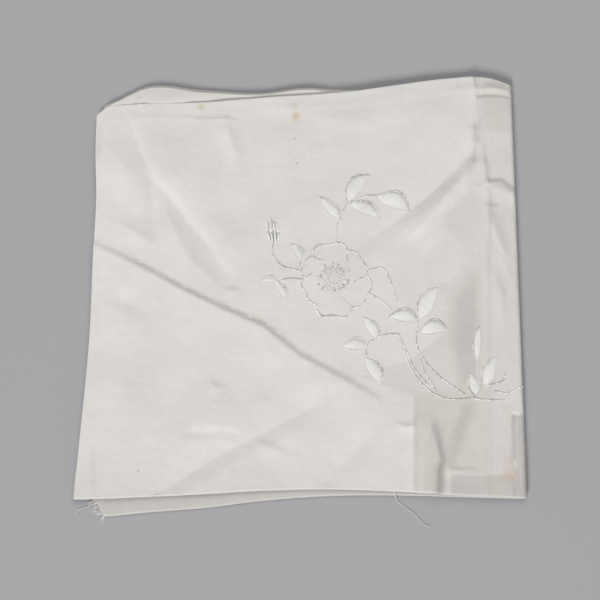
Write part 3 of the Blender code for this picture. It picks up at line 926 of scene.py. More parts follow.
# %% Unit stitch
Stitch = namedtuple("Stitch", "start end radius lift base tone", defaults=(None,))
STITCH_SIDES = 6
STITCH_RINGS = 6
STITCH_BLUNTNESS = 0.45
STITCH_FLATNESS = 0.8


def unit_stitch():
    """A thread on X from 0 to 1, of radius 1, with rounded ends."""
    bm = bmesh.new()
    bmesh.ops.create_uvsphere(bm, u_segments=STITCH_SIDES, v_segments=STITCH_RINGS, radius=1)
    bmesh.ops.rotate(bm, matrix=Matrix.Rotation(math.pi / 2, 3, "Y"), verts=bm.verts[:])
    for vert in bm.verts:
        wide = max(math.hypot(vert.co.y, vert.co.z), 1e-6)
        vert.co.y *= wide ** (STITCH_BLUNTNESS - 1)
        vert.co.z *= wide ** (STITCH_BLUNTNESS - 1)
    bmesh.ops.translate(bm, vec=(1, 0, 0), verts=bm.verts[:])
    bmesh.ops.scale(bm, vec=(0.5, 1, 1), verts=bm.verts[:])
    return bm


def copies(bm, count):
    """One mesh of many copies, each copy's points together."""
    mesh = bpy.data.meshes.new("unit")
    bm.to_mesh(mesh)
    bm.free()
    unit = bpy.data.objects.new("unit", mesh)
    bpy.context.scene.collection.objects.link(unit)
    row = unit.modifiers.new("row", "ARRAY")
    row.use_relative_offset = False
    row.count = count
    made = bpy.data.meshes.new_from_object(unit.evaluated_get(bpy.context.evaluated_depsgraph_get()))
    bpy.data.objects.remove(unit)
    return made


def unit_points(mesh, count):
    """The share along the stitch, and the sideways and upward place, of each copy's points."""
    points = np.empty(len(mesh.vertices) * 3, np.float32)
    mesh.vertices.foreach_get("co", points)
    return points.reshape(count, -1, 3).transpose(2, 0, 1).astype(float)


print("a stitch has", STITCH_SIDES * (STITCH_RINGS - 1) + 2, "points")

# %% [markdown]
# ## Laying the stitches
# A list of stitches becomes one mesh: each copy is laid along its own stitch on the flat cloth, arched a
# little, and folded by the cloth's own formula. Each stitch gets a tone, in which a soft noise makes
# neighbours alike and chance makes single ones differ. Each point also keeps how near it is to the stitch's
# end, where the thread dips into the cloth, and the thread is darkened there as painted shade.

# %% Laid stitches
END_SHADE_REACH = 0.0004
TONE_SCALE = 0.0060
TONE_SLICE = 0.004
TONE_MIDDLE = 0.42
TONE_PATCHES = 1.2
TONE_CHANCE = 0.9
tone_random = np.random.default_rng(9)


def stitch_tone(stitch):
    """How grey a stitch is, from 0 to 1."""
    if stitch.tone is not None:
        return stitch.tone
    x, y = stitch.start
    patch = noise.noise(Vector((x, y, TONE_SLICE)) / TONE_SCALE)
    chance = tone_random.uniform(-TONE_CHANCE, TONE_CHANCE)
    return min(max(TONE_MIDDLE + TONE_PATCHES * patch + chance, 0), 1)


def stitch_mesh(name, stitches):
    """Lays one thread along each stitch."""
    mesh = copies(unit_stitch(), len(stitches))
    mesh.name = name
    share, wide, tall = unit_points(mesh, len(stitches))
    starts, ends = (np.array([stitch[end] for stitch in stitches]) for end in (0, 1))
    radius, lift, base = (np.array([stitch[value] for stitch in stitches])[:, None] for value in (2, 3, 4))
    across, along = (value[:, None] for value in flat_place(*starts.T))
    across_end, along_end = (value[:, None] for value in flat_place(*ends.T))
    run_across, run_along = across_end - across, along_end - along
    length = np.hypot(run_across, run_along)
    across = across + run_across * share - run_along / length * wide * radius
    along = along + run_along * share + run_across / length * wide * radius
    offset = CLOTH / 2 + base + lift * 4 * share * (1 - share) + tall * radius * STITCH_FLATNESS
    mesh.vertices.foreach_set("co", folded(across, along, offset).ravel())
    tone = np.repeat([stitch_tone(stitch) for stitch in stitches], share.shape[1])
    mesh.attributes.new("tone", "FLOAT", "POINT").data.foreach_set("value", tone)
    to_end = np.minimum(share, 1 - share) * length
    end = np.clip(1 - to_end / END_SHADE_REACH, 0, 1)
    mesh.attributes.new("end", "FLOAT", "POINT").data.foreach_set("value", end.ravel())
    return mesh


# %% [markdown]
# ## Lines of stem stitch
# Outlines and stems are worked in stem stitch: short slanting stitches, each one starting beside
# the middle of the last, so that together they look like a thin rope.

# %% Stem stitch
STEM_STEP = 0.00125
STEM_LENGTH = 0.0016
STEM_SLANT = 0.00011
STEM_RADIUS = 0.00022


def smooth_line(points, step):
    """Points at even steps along a smooth curve through a few given ones."""
    points = np.array(points, float)
    at = np.concatenate([[0], np.cumsum(np.hypot(*np.diff(points, axis=0).T))])
    dense = np.linspace(0, at[-1], 30 * len(points))
    x, y = (through(at, values, dense) for values in points.T)
    length = np.concatenate([[0], np.cumsum(np.hypot(np.diff(x), np.diff(y)))])
    even = np.linspace(0, length[-1], max(2, round(length[-1] / step) + 1))
    return np.stack([np.interp(even, length, x), np.interp(even, length, y)], axis=1)


def stem_stitches(points, radius=STEM_RADIUS):
    line = smooth_line(points, STEM_STEP)
    heading = np.gradient(line, axis=0)
    heading /= np.linalg.norm(heading, axis=1)[:, None]
    side = heading[:, ::-1] * (-1, 1)
    reach = heading * STEM_LENGTH / 2 - side * STEM_SLANT
    return [Stitch(start, end, radius, radius, 0.0) for start, end in zip(line - reach, line + reach)]


print("stem stitch:", round(1 / STEM_STEP / 100, 1), "stitches per centimetre")

# %% [markdown]
# ## Padded leaves
# Each leaf is filled with satin stitch: threads laid side by side across it, over a little padding,
# so that the leaf stands up from the linen and shines. A line of stem stitch runs along each edge.
# The line on the far side of each leaf is worked in a darker thread than the near one, as painted shade on
# the side turned away from the lamp.

# %% Leaves
Leaf = namedtuple("Leaf", "base tip width bend")
LEAVES = [
    # The sprig at the top
    Leaf((0.0224, 0.0470), (0.0324, 0.0600), 0.0074, 0.0018),
    Leaf((0.0372, 0.0497), (0.0512, 0.0428), 0.0088, 0.0016),
    Leaf((0.0240, 0.0458), (0.0370, 0.0388), 0.0066, 0.0014),
    Leaf((0.0186, 0.0378), (0.0096, 0.0488), 0.0050, -0.0006),
    # Left of the rose
    Leaf((0.0002, 0.0180), (-0.0038, 0.0256), 0.0040, -0.0010),
    Leaf((-0.0112, 0.0076), (-0.0180, 0.0080), 0.0032, -0.0008),
    Leaf((-0.0106, 0.0066), (-0.0066, -0.0010), 0.0034, 0.0006),
    # Right of the rose
    Leaf((0.0556, -0.0096), (0.0640, 0.0042), 0.0080, 0.0010),
    Leaf((0.0540, -0.0110), (0.0414, -0.0094), 0.0062, -0.0018),
    Leaf((0.0556, -0.0160), (0.0680, -0.0158), 0.0070, 0.0018),
    Leaf((0.0350, -0.0196), (0.0296, -0.0102), 0.0052, -0.0010),
    Leaf((0.0302, -0.0238), (0.0200, -0.0234), 0.0056, -0.0014),
    Leaf((0.0304, -0.0296), (0.0364, -0.0406), 0.0064, 0.0010),
    # The sprig by the right-hand fold
    Leaf((0.0813, -0.0290), (0.0830, -0.0142), 0.0038, 0.0004),
    Leaf((0.0842, -0.0418), (0.0898, -0.0292), 0.0062, 0.0004),
    Leaf((0.0806, -0.0466), (0.0782, -0.0366), 0.0052, -0.0004),
]
SATIN_PITCH = 0.00034
SATIN_RADIUS = 0.00020
SATIN_SLANT = 0.30
SATIN_SHARES = (0.03, 0.97)
PAD_SHARE = 0.09
LEAF_FULLNESS = 0.85
LEAF_EDGE_POINTS = 9
NEAR_EDGE_RADIUS = 0.00016


def leaf_width(share):
    """A leaf's width along it, as a share of its widest: full near the base, pointed at the tip."""
    return np.sin(math.pi * np.clip(share, 0, 1) ** LEAF_FULLNESS) ** LEAF_FULLNESS


def leaf_shape(leaf, share, extra=0.0):
    """The left and right edges of a leaf at shares of its length. extra widens it."""
    base, tip = np.array(leaf.base), np.array(leaf.tip)
    heading = (tip - base) / np.linalg.norm(tip - base)
    side = np.array((-heading[1], heading[0]))
    share = np.asarray(share)[:, None]
    middle = base + (tip - base) * share + side * leaf.bend * 4 * share * (1 - share)
    half = leaf.width / 2 * leaf_width(share)
    reach = side * (half + extra) + heading * half * SATIN_SLANT
    return middle + reach, middle - reach


def satin_stitches(leaf):
    count = round(math.dist(leaf.base, leaf.tip) / SATIN_PITCH)
    left, right = leaf_shape(leaf, np.linspace(*SATIN_SHARES, count))
    lifts = PAD_SHARE * np.linalg.norm(left - right, axis=1) / 2
    return [Stitch(start, end, SATIN_RADIUS, lift, 0.0) for start, end, lift in zip(left, right, lifts)]


def leaf_edge_lines(leaf):
    """The lines along the far edge and the near edge, a little outside the satin."""
    edges = leaf_shape(leaf, np.linspace(0, 1, LEAF_EDGE_POINTS), STEM_RADIUS)
    return sorted(edges, key=lambda line: -line[:, 1].mean())


leaf_fill, far_edges_in_painted_shade, near_edges = [], [], []
for leaf in LEAVES:
    far_line, near_line = leaf_edge_lines(leaf)
    leaf_fill += satin_stitches(leaf)
    far_edges_in_painted_shade += stem_stitches(far_line)
    near_edges += stem_stitches(near_line, NEAR_EDGE_RADIUS)
print(len(LEAVES), "leaves:", len(leaf_fill), "satin stitches,", len(far_edges_in_painted_shade + near_edges), "at edges")

# %% [markdown]
# ## The rose
# A rose seen face on has broad petals round a ring of stamens. It is drawn by a rule: each petal is
# an arc about the centre that bulges outwards, with a small wave at its edge and a line down one
# side, where it tucks under the next one. Part of one petal's edge is worked more heavily, and two
# petals behind the rose show as plain lines at its right.

# %% Rose
Petal = namedtuple("Petal", "start end reach wave")
PETALS = [
    Petal(5, 64, 0.0164, 0.0006),
    Petal(64, 133, 0.0178, 0.0011),
    Petal(133, 178, 0.0158, 0.0004),
    Petal(178, 236, 0.0154, 0.0006),
    Petal(236, 301, 0.0190, 0.0013),
    Petal(301, 365, 0.0182, 0.0008),
]
PETAL_POINTS = 19
PETAL_WAIST = 0.88
PETAL_ROUNDNESS = 0.7
PETAL_WAVES = 1.5
# Distances from the centre, and turns back from the petal's end, of the line where it is tucked in
TUCK_MIDDLE, TUCK_MIDDLE_TURN = 0.0118, 0.10
TUCK_INSIDE, TUCK_INSIDE_TURN = 0.0100, 0.24
TUCK_RADIUS = 0.75 * STEM_RADIUS
HEAVY_PETAL = 4
HEAVY_POINTS = slice(2, 9)
HEAVY_RADIUS = 1.5 * STEM_RADIUS
BEHIND_LINES = [
    [(0.0330, 0.0136), (0.0378, 0.0142), (0.0415, 0.0095), (0.0436, 0.0035), (0.0450, -0.0010)],
    [(0.0325, 0.0018), (0.0375, -0.0014), (0.0418, -0.0052)],
]


def on_rose(radius, angle):
    """A point at a distance and an angle from the rose's centre."""
    return ROSE_CENTRE + radius * np.array((math.cos(angle), math.sin(angle)))


def petal_edge(number):
    """The outer edge of a petal. It meets its neighbours at a waist between their reaches."""
    before, petal, after = (PETALS[(number + step) % len(PETALS)] for step in (-1, 0, 1))
    first = PETAL_WAIST * (before.reach + petal.reach) / 2
    last = PETAL_WAIST * (petal.reach + after.reach) / 2
    edge = []
    for share in np.linspace(0, 1, PETAL_POINTS):
        waist = first + (last - first) * share
        radius = waist + (petal.reach - waist) * math.sin(share * math.pi) ** PETAL_ROUNDNESS
        radius += petal.wave * math.sin(share * math.tau * PETAL_WAVES) * math.sin(share * math.pi)
        edge.append(on_rose(radius, math.radians(petal.start + share * (petal.end - petal.start))))
    return edge


def tuck_line(number):
    """The short line where a petal tucks under the next one."""
    end, turn = petal_edge(number)[-1], math.radians(PETALS[number].end)
    middle = on_rose(TUCK_MIDDLE, turn - TUCK_MIDDLE_TURN)
    return [end, middle, on_rose(TUCK_INSIDE, turn - TUCK_INSIDE_TURN)]


rose_stitches = []
for line in [petal_edge(number) for number in range(len(PETALS))] + BEHIND_LINES:
    rose_stitches += stem_stitches(line)
for number in range(len(PETALS)):
    rose_stitches += stem_stitches(tuck_line(number), TUCK_RADIUS)
rose_stitches += stem_stitches(petal_edge(HEAVY_PETAL)[HEAVY_POINTS], HEAVY_RADIUS)
print("rose:", len(rose_stitches), "outline stitches")

# %% [markdown]
# ## The stamens
# A ring of knots, each one a very short thick stitch, sits at the centre. Straight stitches stand
# round it at uneven steps and lengths, in white and in two greys, and every third has a knot at its
# tip. Chance draws them all from one seeded generator, so they come out the same on every run.

# %% Stamens
RING_RADIUS = 0.0029
RING_KNOTS = 11
KNOT_RADIUS = 0.00036
KNOT_LIFT = 0.0001
KNOT_TONES = (0.0, 1.0)
STAMENS = 44
STAMENS_PER_KNOT = 3
STAMEN_ROOTS = (0.0036, 0.0052)
STAMEN_LENGTHS = (0.0012, 0.0026)
STAMEN_SHIFT = 0.4
STAMEN_LEAN = 0.15
STAMEN_TONES = (0.0, 0.6, 1.0)
STAMEN_RADIUS = 0.00017
TIP_GAP = 0.0004
rose_random = np.random.default_rng(2)


def knot(place, tone):
    ends = place - (KNOT_RADIUS, 0), place + (KNOT_RADIUS, 0)
    return Stitch(*ends, KNOT_RADIUS, KNOT_LIFT, KNOT_LIFT, tone)


ring_turns = np.arange(RING_KNOTS) * math.tau / RING_KNOTS
stamen_stitches = [knot(on_rose(RING_RADIUS, turn), 0.0) for turn in ring_turns]
for number in range(STAMENS):
    angle = (number + rose_random.uniform(-STAMEN_SHIFT, STAMEN_SHIFT)) * math.tau / STAMENS
    root = rose_random.uniform(*STAMEN_ROOTS)
    tip = root + rose_random.uniform(*STAMEN_LENGTHS)
    lean = rose_random.uniform(-STAMEN_LEAN, STAMEN_LEAN)
    tone = rose_random.choice(STAMEN_TONES)
    ends = on_rose(root, angle), on_rose(tip, angle + lean)
    stamen_stitches.append(Stitch(*ends, STAMEN_RADIUS, KNOT_LIFT, 0.0, tone))
    if number % STAMENS_PER_KNOT == 0:
        place = on_rose(tip + TIP_GAP, angle + lean)
        stamen_stitches.append(knot(place, rose_random.choice(KNOT_TONES)))
print(len(stamen_stitches), "stitches in the rose's middle")

# %% [markdown]
# ## Stems
# The stems join the leaves to the rose in long loose curves, doubled where two stems run side by
# side, and the lowest ones run on to the right-hand fold. Each is a few points that a smooth line
# goes through, worked in stem stitch like the outlines.

# %% Stems
STEMS = [
    # To the sprig at the top
    [(0.0166, 0.0262), (0.0178, 0.0366), (0.0222, 0.0461)],
    [(0.0224, 0.0461), (0.0280, 0.0486), (0.0326, 0.0500), (0.0369, 0.0497)],
    # To the bud and the small leaves on the left
    [(-0.0128, 0.0268), (-0.0124, 0.0200), (-0.0078, 0.0150), (-0.0008, 0.0130)],
    [(-0.0108, 0.0072), (-0.0060, 0.0090), (0.0010, 0.0086)],
    [(0.0002, 0.0180), (0.0000, 0.0154), (-0.0010, 0.0133)],
    # To the leaves on the right
    [(0.0545, -0.0100), (0.0543, -0.0242), (0.0569, -0.0294), (0.0632, -0.0369), (0.0748, -0.0453)],
    [(0.0547, -0.0256), (0.0566, -0.0340), (0.0596, -0.0396), (0.0620, -0.0440)],
    [(0.0447, -0.0176), (0.0482, -0.0270), (0.0504, -0.0327), (0.0585, -0.0434), (0.0643, -0.0471),
     (0.0798, -0.0476)],
    [(0.0460, -0.0186), (0.0498, -0.0276), (0.0528, -0.0342), (0.0592, -0.0420)],
    [(0.0308, -0.0290), (0.0304, -0.0237), (0.0350, -0.0195), (0.0406, -0.0176), (0.0452, -0.0176)],
    # By the right-hand fold
    [(0.0813, -0.0294), (0.0815, -0.0364), (0.0822, -0.0425), (0.0802, -0.0476)],
    [(0.0841, -0.0425), (0.0880, -0.0412), (0.0933, -0.0388), (0.0939, -0.0364)],
    [(0.0895, -0.0443), (0.0945, -0.0453), (0.0990, -0.0432), (0.1012, -0.0421)],
    [(0.0802, -0.0481), (0.0871, -0.0485), (0.0944, -0.0476), (0.0945, -0.0448)],
]
stem_line_stitches = [stitch for stem in STEMS for stitch in stem_stitches(stem)]
print(len(STEMS), "stems:", len(stem_line_stitches), "stitches")

# %% [markdown]
# ## The bud
# The bud is a bundle of long strands at the end of its own curved stem. Each strand is two straight stitches
# that meet at the bud's belly, where it is widest. White strands take turns with thinner dark ones, which
# are painted shade in the gaps between them, and the strands' ends are uneven.

# %% Bud
BUD_BASE = np.array((-0.0122, 0.0266))
BUD_TIP = np.array((-0.0134, 0.0392))
BUD_STRANDS = 7
BUD_WIDTH = 0.0054
BUD_BELLY = 0.45
BUD_BELLY_UNEVEN = 0.0008
BASE_NARROWING = 0.72
BASE_RISE = 0.0024
TIP_NARROWING = 0.76
TIP_DROP = 0.0036
TIP_UNEVEN = 0.0012
UPPER_SHARE = 0.8
# The radius, the lift, and the tones of the lower and the upper stitch
WHITE_STRAND = (0.00042, 0.0003, 0.0, 0.1)
# The dark strands are painted shade in the gaps between the white ones
SHADE_STRAND = (0.7 * 0.00042, 0.0001, 1.0, 0.75)

bud_stitches = []
for number in range(BUD_STRANDS):
    share = number / (BUD_STRANDS - 1) - 0.5
    uneven = BUD_BELLY_UNEVEN * math.sin(5 * number)
    belly = BUD_BASE + BUD_BELLY * (BUD_TIP - BUD_BASE) + (share * BUD_WIDTH, uneven)
    start = BUD_BASE + (share * BUD_WIDTH * BASE_NARROWING, BASE_RISE * abs(share))
    drop = -TIP_DROP * abs(share) - TIP_UNEVEN * abs(math.sin(2 * number))
    end = BUD_TIP + (share * BUD_WIDTH * TIP_NARROWING, drop)
    radius, lift, lower_tone, upper_tone = WHITE_STRAND if number % 2 == 0 else SHADE_STRAND
    bud_stitches.append(Stitch(start, belly, radius, lift, 0.0, lower_tone))
    bud_stitches.append(Stitch(belly, end, UPPER_SHARE * radius, lift, 0.0, upper_tone))
print("bud:", len(bud_stitches), "stitches")

# %% [markdown]
# ## The stitching thread
# The thread is a white cotton with a soft shine, and the thin lines have a darker grey in them. The
# stitches' `tone` leads from a light colour to a dark one, and their points' `end`, which is 1 where the
# thread goes down into the cloth, darkens them there as painted shade. That makes a line of stitches look
# dotted, and fine noise keeps them from looking moulded. One function makes four threads from it.

# %% Thread material
def thread_material(name, light, dark, uneven, roughness):
    """A stitching thread. uneven is how much its tones differ, from 0 to 1."""
    material = bpy.data.materials.new(name)
    material.use_nodes = True
    tree = material.node_tree
    shader = tree.nodes["Principled BSDF"]
    place = add(tree, "ShaderNodeTexCoord").outputs["Object"]
    tone = add(tree, "ShaderNodeAttribute", attribute_name="tone").outputs["Fac"]
    end = add(tree, "ShaderNodeAttribute", attribute_name="end").outputs["Fac"]
    fine, coarse = ({"Vector": place, "Scale": scale, "Detail": 2.0} for scale in (4500.0, 160.0))
    grain = add(tree, "ShaderNodeTexNoise", fine).outputs["Fac"]
    patches = add(tree, "ShaderNodeTexNoise", coarse).outputs["Fac"]
    toned = mixed(tree, ranged(tree, tone, 0.15, 1.0, 0.0, uneven), light, dark)
    # The end darkening is painted shade where the thread dips into the cloth
    toned = mixed(tree, ranged(tree, end, 0.0, 0.8, 0.0, 0.8 * uneven), toned, dark)
    toned = mixed(tree, ranged(tree, patches, 0.35, 0.70, 0.15, 0.0), toned, dark)
    toned = mixed(tree, ranged(tree, grain, 0.35, 0.65, 0.12, 0.0), toned, dark)
    tree.links.new(toned, shader.inputs["Base Color"])
    bump = add(tree, "ShaderNodeBump", {"Height": grain, "Distance": 0.00006, "Strength": 0.5})
    tree.links.new(bump.outputs[0], shader.inputs["Normal"])
    tree.links.new(ranged(tree, patches, 0.3, 0.7, roughness + 0.08, roughness), shader.inputs["Roughness"])
    shader.inputs["Sheen Weight"].default_value = 0.1
    return material


SATIN_LIGHT = (0.825, 0.815, 0.78, 1)
LINE_LIGHT = (0.96, 0.955, 0.93, 1)
LINE_DARK = (0.38, 0.370, 0.346, 1)
BUD_PAINTED_SHADE = (0.27, 0.26, 0.24, 1)
PLAIN_LIGHT = (0.80, 0.79, 0.765, 1)
satin_thread = thread_material("satin stitching thread", SATIN_LIGHT, LINEN_GREY, 0.24, 0.45)
line_thread = thread_material("grey stitching thread", LINE_LIGHT, LINE_DARK, 0.82, 0.55)
bud_thread = thread_material("bud thread and painted shade", LINE_LIGHT, BUD_PAINTED_SHADE, 0.90, 0.55)
white_thread = thread_material("white thread", PLAIN_LIGHT, LINEN_GREY, 0.4, 0.5)
print("threads:", [thread.name for thread in (satin_thread, line_thread, bud_thread, white_thread)])

# %% [markdown]
# ## The embroidery
# Every kind of stitching is one piece, so that it can have its own thread. The lines at the leaves' far
# edges get the grey thread as painted shade, and those at their near edges are as light as the satin.

# %% Embroidery
EMBROIDERY = {
    "satin_leaves": (leaf_fill, satin_thread),
    "far_leaf_edges_painted_shade": (far_edges_in_painted_shade, line_thread),
    "near_leaf_edges": (near_edges, satin_thread),
    "rose_outlines": (rose_stitches, line_thread),
    "rose_stamens": (stamen_stitches, line_thread),
    "stems": (stem_line_stitches, line_thread),
    "bud": (bud_stitches, bud_thread),
}
for name, (stitches, material) in EMBROIDERY.items():
    add_piece(name, stitch_mesh(name, stitches), material)
print("stitches in all:", sum(len(stitches) for stitches, material in EMBROIDERY.values()))

# %% [markdown]
# ## Painted shade beside the stitches
# Tight stitches pull the linen together, and the shade of that puckering is painted: each point of the top
# layer near a stitch gets a value, `drawn`, that the linen's material darkens.

# %% Painted stitch shade
PAINTED_STITCH_SHADE_REACH = 0.0014


def mark_painted_stitch_shade(mesh, stitches):
    places = [(np.array(stitch.start) + np.array(stitch.end)) / 2 for stitch in stitches]
    tree = kdtree.KDTree(len(places))
    for number, place in enumerate(places):
        tree.insert((*place, 0), number)
    tree.balance()
    drawn = []
    for vert in mesh.vertices:
        away = tree.find((vert.co.x - MIDDLE.x, vert.co.y - MIDDLE.y, 0))[2]
        drawn.append(float(smoothed(1 - away / PAINTED_STITCH_SHADE_REACH)))
    top = (CLOTH_ACROSS < 0) & (CLOTH_ALONG > 0)
    mesh.attributes["drawn"].data.foreach_set("value", np.where(top, drawn, 0))
    print(sum(value > 0 for value in drawn), "points near a stitch")


mark_painted_stitch_shade(cloth_mesh, far_edges_in_painted_shade + rose_stitches + stamen_stitches + stem_line_stitches + bud_stitches)

# %% [markdown]
# ## Hem stitches
# The hem is turned twice and slip-stitched by hand: small stitches at even steps catch its inner
# edge to the cloth, and only they show on the right side.

# %% Hem stitches
HEM_STITCH_STEP = 0.0026
HEM_STITCH_LENGTH = 0.0011
HEM_STITCH_RADIUS = 0.00010
HEM_STITCH_BASE = 0.0001
HEM_STITCH_TURN = 0.5
HEM_STITCH_UNEVEN = 0.0003


def flat_stitches_to_mesh(name, places, headings):
    """Stitches given by places on the flat cloth, for a hem that runs straight there."""
    mesh = copies(unit_stitch(), len(places))
    mesh.name = name
    share, wide, tall = unit_points(mesh, len(places))
    places, headings = np.array(places)[:, :, None], np.array(headings)[:, :, None]
    reach = (share - 0.5) * HEM_STITCH_LENGTH
    across = places[:, 0] + headings[:, 0] * reach - headings[:, 1] * wide * HEM_STITCH_RADIUS
    along = places[:, 1] + headings[:, 1] * reach + headings[:, 0] * wide * HEM_STITCH_RADIUS
    offset = CLOTH / 2 + HEM_STITCH_BASE + tall * HEM_STITCH_RADIUS
    mesh.vertices.foreach_set("co", folded(across, along, offset).ravel())
    return mesh


hem_places, hem_headings = [], []
for number in range(round((QUARTER - HEM_WIDTH) / HEM_STITCH_STEP)):
    step = number * HEM_STITCH_STEP + HEM_STITCH_UNEVEN * math.sin(7 * number)
    hem_places.append((-step - STACK_BEND * math.pi, HALF_ALONG - HEM_WIDTH))
    hem_headings.append((math.cos(HEM_STITCH_TURN), math.sin(HEM_STITCH_TURN)))
    hem_places.append((-HALF_ACROSS + HEM_WIDTH, step + PAIR_BEND * math.pi))
    hem_headings.append((math.sin(HEM_STITCH_TURN), math.cos(HEM_STITCH_TURN)))
hem_mesh = flat_stitches_to_mesh("hem_stitches", hem_places, hem_headings)
add_piece("hem_stitches", hem_mesh, white_thread)
print(len(hem_places), "hem stitches")

# %% [markdown]
# ## Threads as meshes
# A thread that hangs free is a curve with a round bevel, which is quick to draw and easy to bend.
# The curve is turned into a mesh, because the other pieces are meshes too, and its doubled points
# are merged, so that each thread is one closed tube.

# %% Thread meshes
MERGE_WITHIN = 1e-6


def smooth_route(points, count):
    """A smooth line through points in space."""
    points = np.array(points)
    at = np.concatenate([[0], np.cumsum(np.linalg.norm(np.diff(points, axis=0), axis=1))])
    return np.stack([through(at, values, np.linspace(0, at[-1], count)) for values in points.T], axis=1)


def threads_mesh(name, routes, radius):
    curve = bpy.data.curves.new(name, "CURVE")
    curve.dimensions = "3D"
    curve.bevel_depth = radius
    curve.bevel_resolution = 1
    curve.use_fill_caps = True
    for route in routes:
        spline = curve.splines.new("POLY")
        spline.points.add(len(route) - 1)
        spline.points.foreach_set("co", np.c_[route + np.array(MIDDLE), np.ones(len(route))].ravel())
    drawn = bpy.data.objects.new(name, curve)
    bpy.context.scene.collection.objects.link(drawn)
    mesh = bpy.data.meshes.new_from_object(drawn.evaluated_get(bpy.context.evaluated_depsgraph_get()))
    bpy.data.objects.remove(drawn)
    facing_out(mesh, MERGE_WITHIN)
    return mesh


# %% [markdown]
# ## The loose thread
# One thread hangs out between the folds at the bottom and lies in a kink on the table. It is
# made of two strands that twist round each other along one route.

# %% Loose thread
LOOSE_RADIUS = 0.00014
LOOSE_PLY_TURNS = 16
POINTS_PER_TURN = 12
LOOSE_THREAD = [
    (0.0420, -0.0898, 0.0030), (0.0426, -0.0914, 0.0027), (0.0432, -0.0930, 0.0014),
    (0.0437, -0.0942, 0.0005), (0.0450, -0.0951, 0.0003), (0.0486, -0.0977, 0.0003),
    (0.0517, -0.1003, 0.0003), (0.0540, -0.1028, 0.0003), (0.0558, -0.1045, 0.0003),
    (0.0583, -0.1057, 0.0003),
]


def plies(route, radius):
    """Two strands that twist round each other along a route."""
    heading = np.gradient(route, axis=0)
    heading /= np.linalg.norm(heading, axis=1)[:, None]
    side = np.cross(heading, (0, 0, 1))
    side /= np.linalg.norm(side, axis=1)[:, None]
    up = np.cross(side, heading)
    turn = np.linspace(0, LOOSE_PLY_TURNS * math.tau, len(route))[:, None]
    around = (np.cos(turn) * side + np.sin(turn) * up) * radius / 2
    return [route + around, route - around]


loose_route = smooth_route(LOOSE_THREAD, POINTS_PER_TURN * LOOSE_PLY_TURNS)
loose_mesh = threads_mesh("hanging_thread", plies(loose_route, LOOSE_RADIUS), LOOSE_RADIUS / 2)
loose = add_piece("hanging_thread", loose_mesh, white_thread)
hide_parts("loose_thread")
loose_length = np.linalg.norm(np.diff(loose_route, axis=0), axis=1).sum()
print("loose thread:", round(loose_length * 1000, 1), "mm long")

# %% [markdown]
# ## The frayed corner
# At the lower left corner of the back layers the hem has worn through, and its threads have sprung out. One
# long thread is drawn, and chance bends the short ones, which start in a row along the worn stretch and
# settle on the table.

# %% Frayed corner
FRAY_RADIUS = 0.00010
FRAY_LONG = [
    (-0.0916, -0.0925, 0.0016), (-0.0942, -0.0945, 0.0009), (-0.0954, -0.0963, 0.0003),
    (-0.0981, -0.0972, 0.0002), (-0.1006, -0.0984, 0.0003), (-0.1004, -0.0996, 0.0002),
    (-0.0994, -0.0999, 0.0001),
]
FRAY_LONG_POINTS = 40
FRAYS = 26
FRAY_POINTS = 9
WORN_UPPER_END = np.array((-0.0918, -0.0930, 0))
WORN_LOWER_END = np.array((-0.0868, -0.1000, 0))
# In degrees, degrees per metre of thread, and metres
FRAY_HEADINGS = (185, 245)
FRAY_BEND = 260
FRAY_LENGTHS = (0.0022, 0.0052)
FRAY_HEIGHTS = (0.0004, 0.0016)
FRAY_DROOP = 1.5
fray_random = np.random.default_rng(5)


def fray_route(number):
    """A thread that springs out of the worn corner, bends and settles on the table."""
    share = (number + fray_random.uniform(0, 1)) / FRAYS
    root = WORN_UPPER_END * (1 - share) + WORN_LOWER_END * share
    heading = math.radians(fray_random.uniform(*FRAY_HEADINGS))
    bend = fray_random.uniform(-FRAY_BEND, FRAY_BEND)
    length = fray_random.uniform(*FRAY_LENGTHS)
    height = fray_random.uniform(*FRAY_HEIGHTS)
    points = []
    for step in np.linspace(0, 1, FRAY_POINTS):
        place = root + length * step * np.array((math.cos(heading), math.sin(heading), 0))
        place[2] = FRAY_RADIUS + height * (1 - step) ** FRAY_DROOP
        points.append(place)
        heading += bend * length / FRAY_POINTS
    return np.array(points)


fray_routes = [smooth_route(FRAY_LONG, FRAY_LONG_POINTS)] + [fray_route(number) for number in range(FRAYS)]
fray_mesh = threads_mesh("frayed_threads", fray_routes, FRAY_RADIUS)
frays = add_piece("frayed_threads", fray_mesh, white_thread)
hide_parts("frayed_corner")
print(len(fray_routes), "frayed threads")

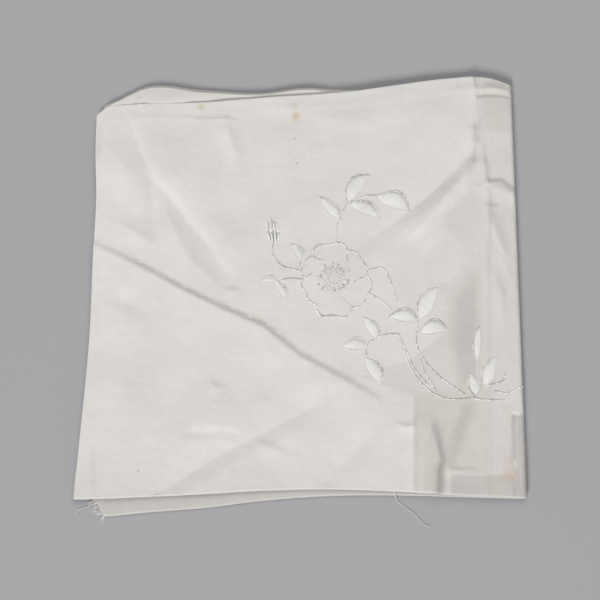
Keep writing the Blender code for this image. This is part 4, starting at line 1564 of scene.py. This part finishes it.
# %% [markdown]
# ## The table
# The table is a plain pale floor, not part of the object. It lies a tenth of a millimetre under
# the cloth, so that the two surfaces don't flicker into each other.

# %% Table
FLOOR_SIDE = 6.0
FLOOR_DROP = 0.0001
FLOOR_COLOUR = (0.36, 0.36, 0.37, 1)
FLOOR_ROUGHNESS = 0.8

floor_mesh = bpy.data.meshes.new("floor")
bm = bmesh.new()
bmesh.ops.create_grid(bm, x_segments=1, y_segments=1, size=FLOOR_SIDE / 2)
bmesh.ops.translate(bm, vec=(0, 0, -FLOOR_DROP), verts=bm.verts[:])
bm.to_mesh(floor_mesh)
bm.free()
floor = bpy.data.objects.new("floor", floor_mesh)
bpy.context.scene.collection.objects.link(floor)
floor_material = bpy.data.materials.new("floor")
floor_material.use_nodes = True
floor_shader = floor_material.node_tree.nodes["Principled BSDF"]
floor_shader.inputs["Base Color"].default_value = FLOOR_COLOUR
floor_shader.inputs["Roughness"].default_value = FLOOR_ROUGHNESS
floor_mesh.materials.append(floor_material)
print("floor:", FLOOR_SIDE, "m square")

# %% [markdown]
# ## The light
# A large soft lamp stands low at the near side and to the left, so that each crease has a bright
# slope and a shaded one. A weak one above and a dim white room fill the shade. Blender's standard
# view keeps the off-white of the linen as it is, where a filmic one would grey it.

# %% Lamps
ROOM_STRENGTH = 0.25


def add_lamp(name, place, size, watts):
    """A square soft lamp that looks at the middle of the cloth."""
    data = bpy.data.lights.new(name, "AREA")
    data.size = size
    data.energy = watts
    lamp = bpy.data.objects.new(name, data)
    lamp.location = MIDDLE + Vector(place)
    lamp.rotation_euler = (-Vector(place)).to_track_quat("-Z", "Y").to_euler()
    bpy.context.scene.collection.objects.link(lamp)


add_lamp("near lamp", (-1.05, -3.40, 2.25), 1.3, 165)
add_lamp("upper lamp", (0.20, 0.60, 1.30), 1.2, 8.4)
world = bpy.data.worlds.new("room")
world.use_nodes = True
world.node_tree.nodes["Background"].inputs["Color"].default_value = (1, 1, 1, 1)
world.node_tree.nodes["Background"].inputs["Strength"].default_value = ROOM_STRENGTH
bpy.context.scene.world = world
bpy.context.scene.view_settings.view_transform = "Standard"
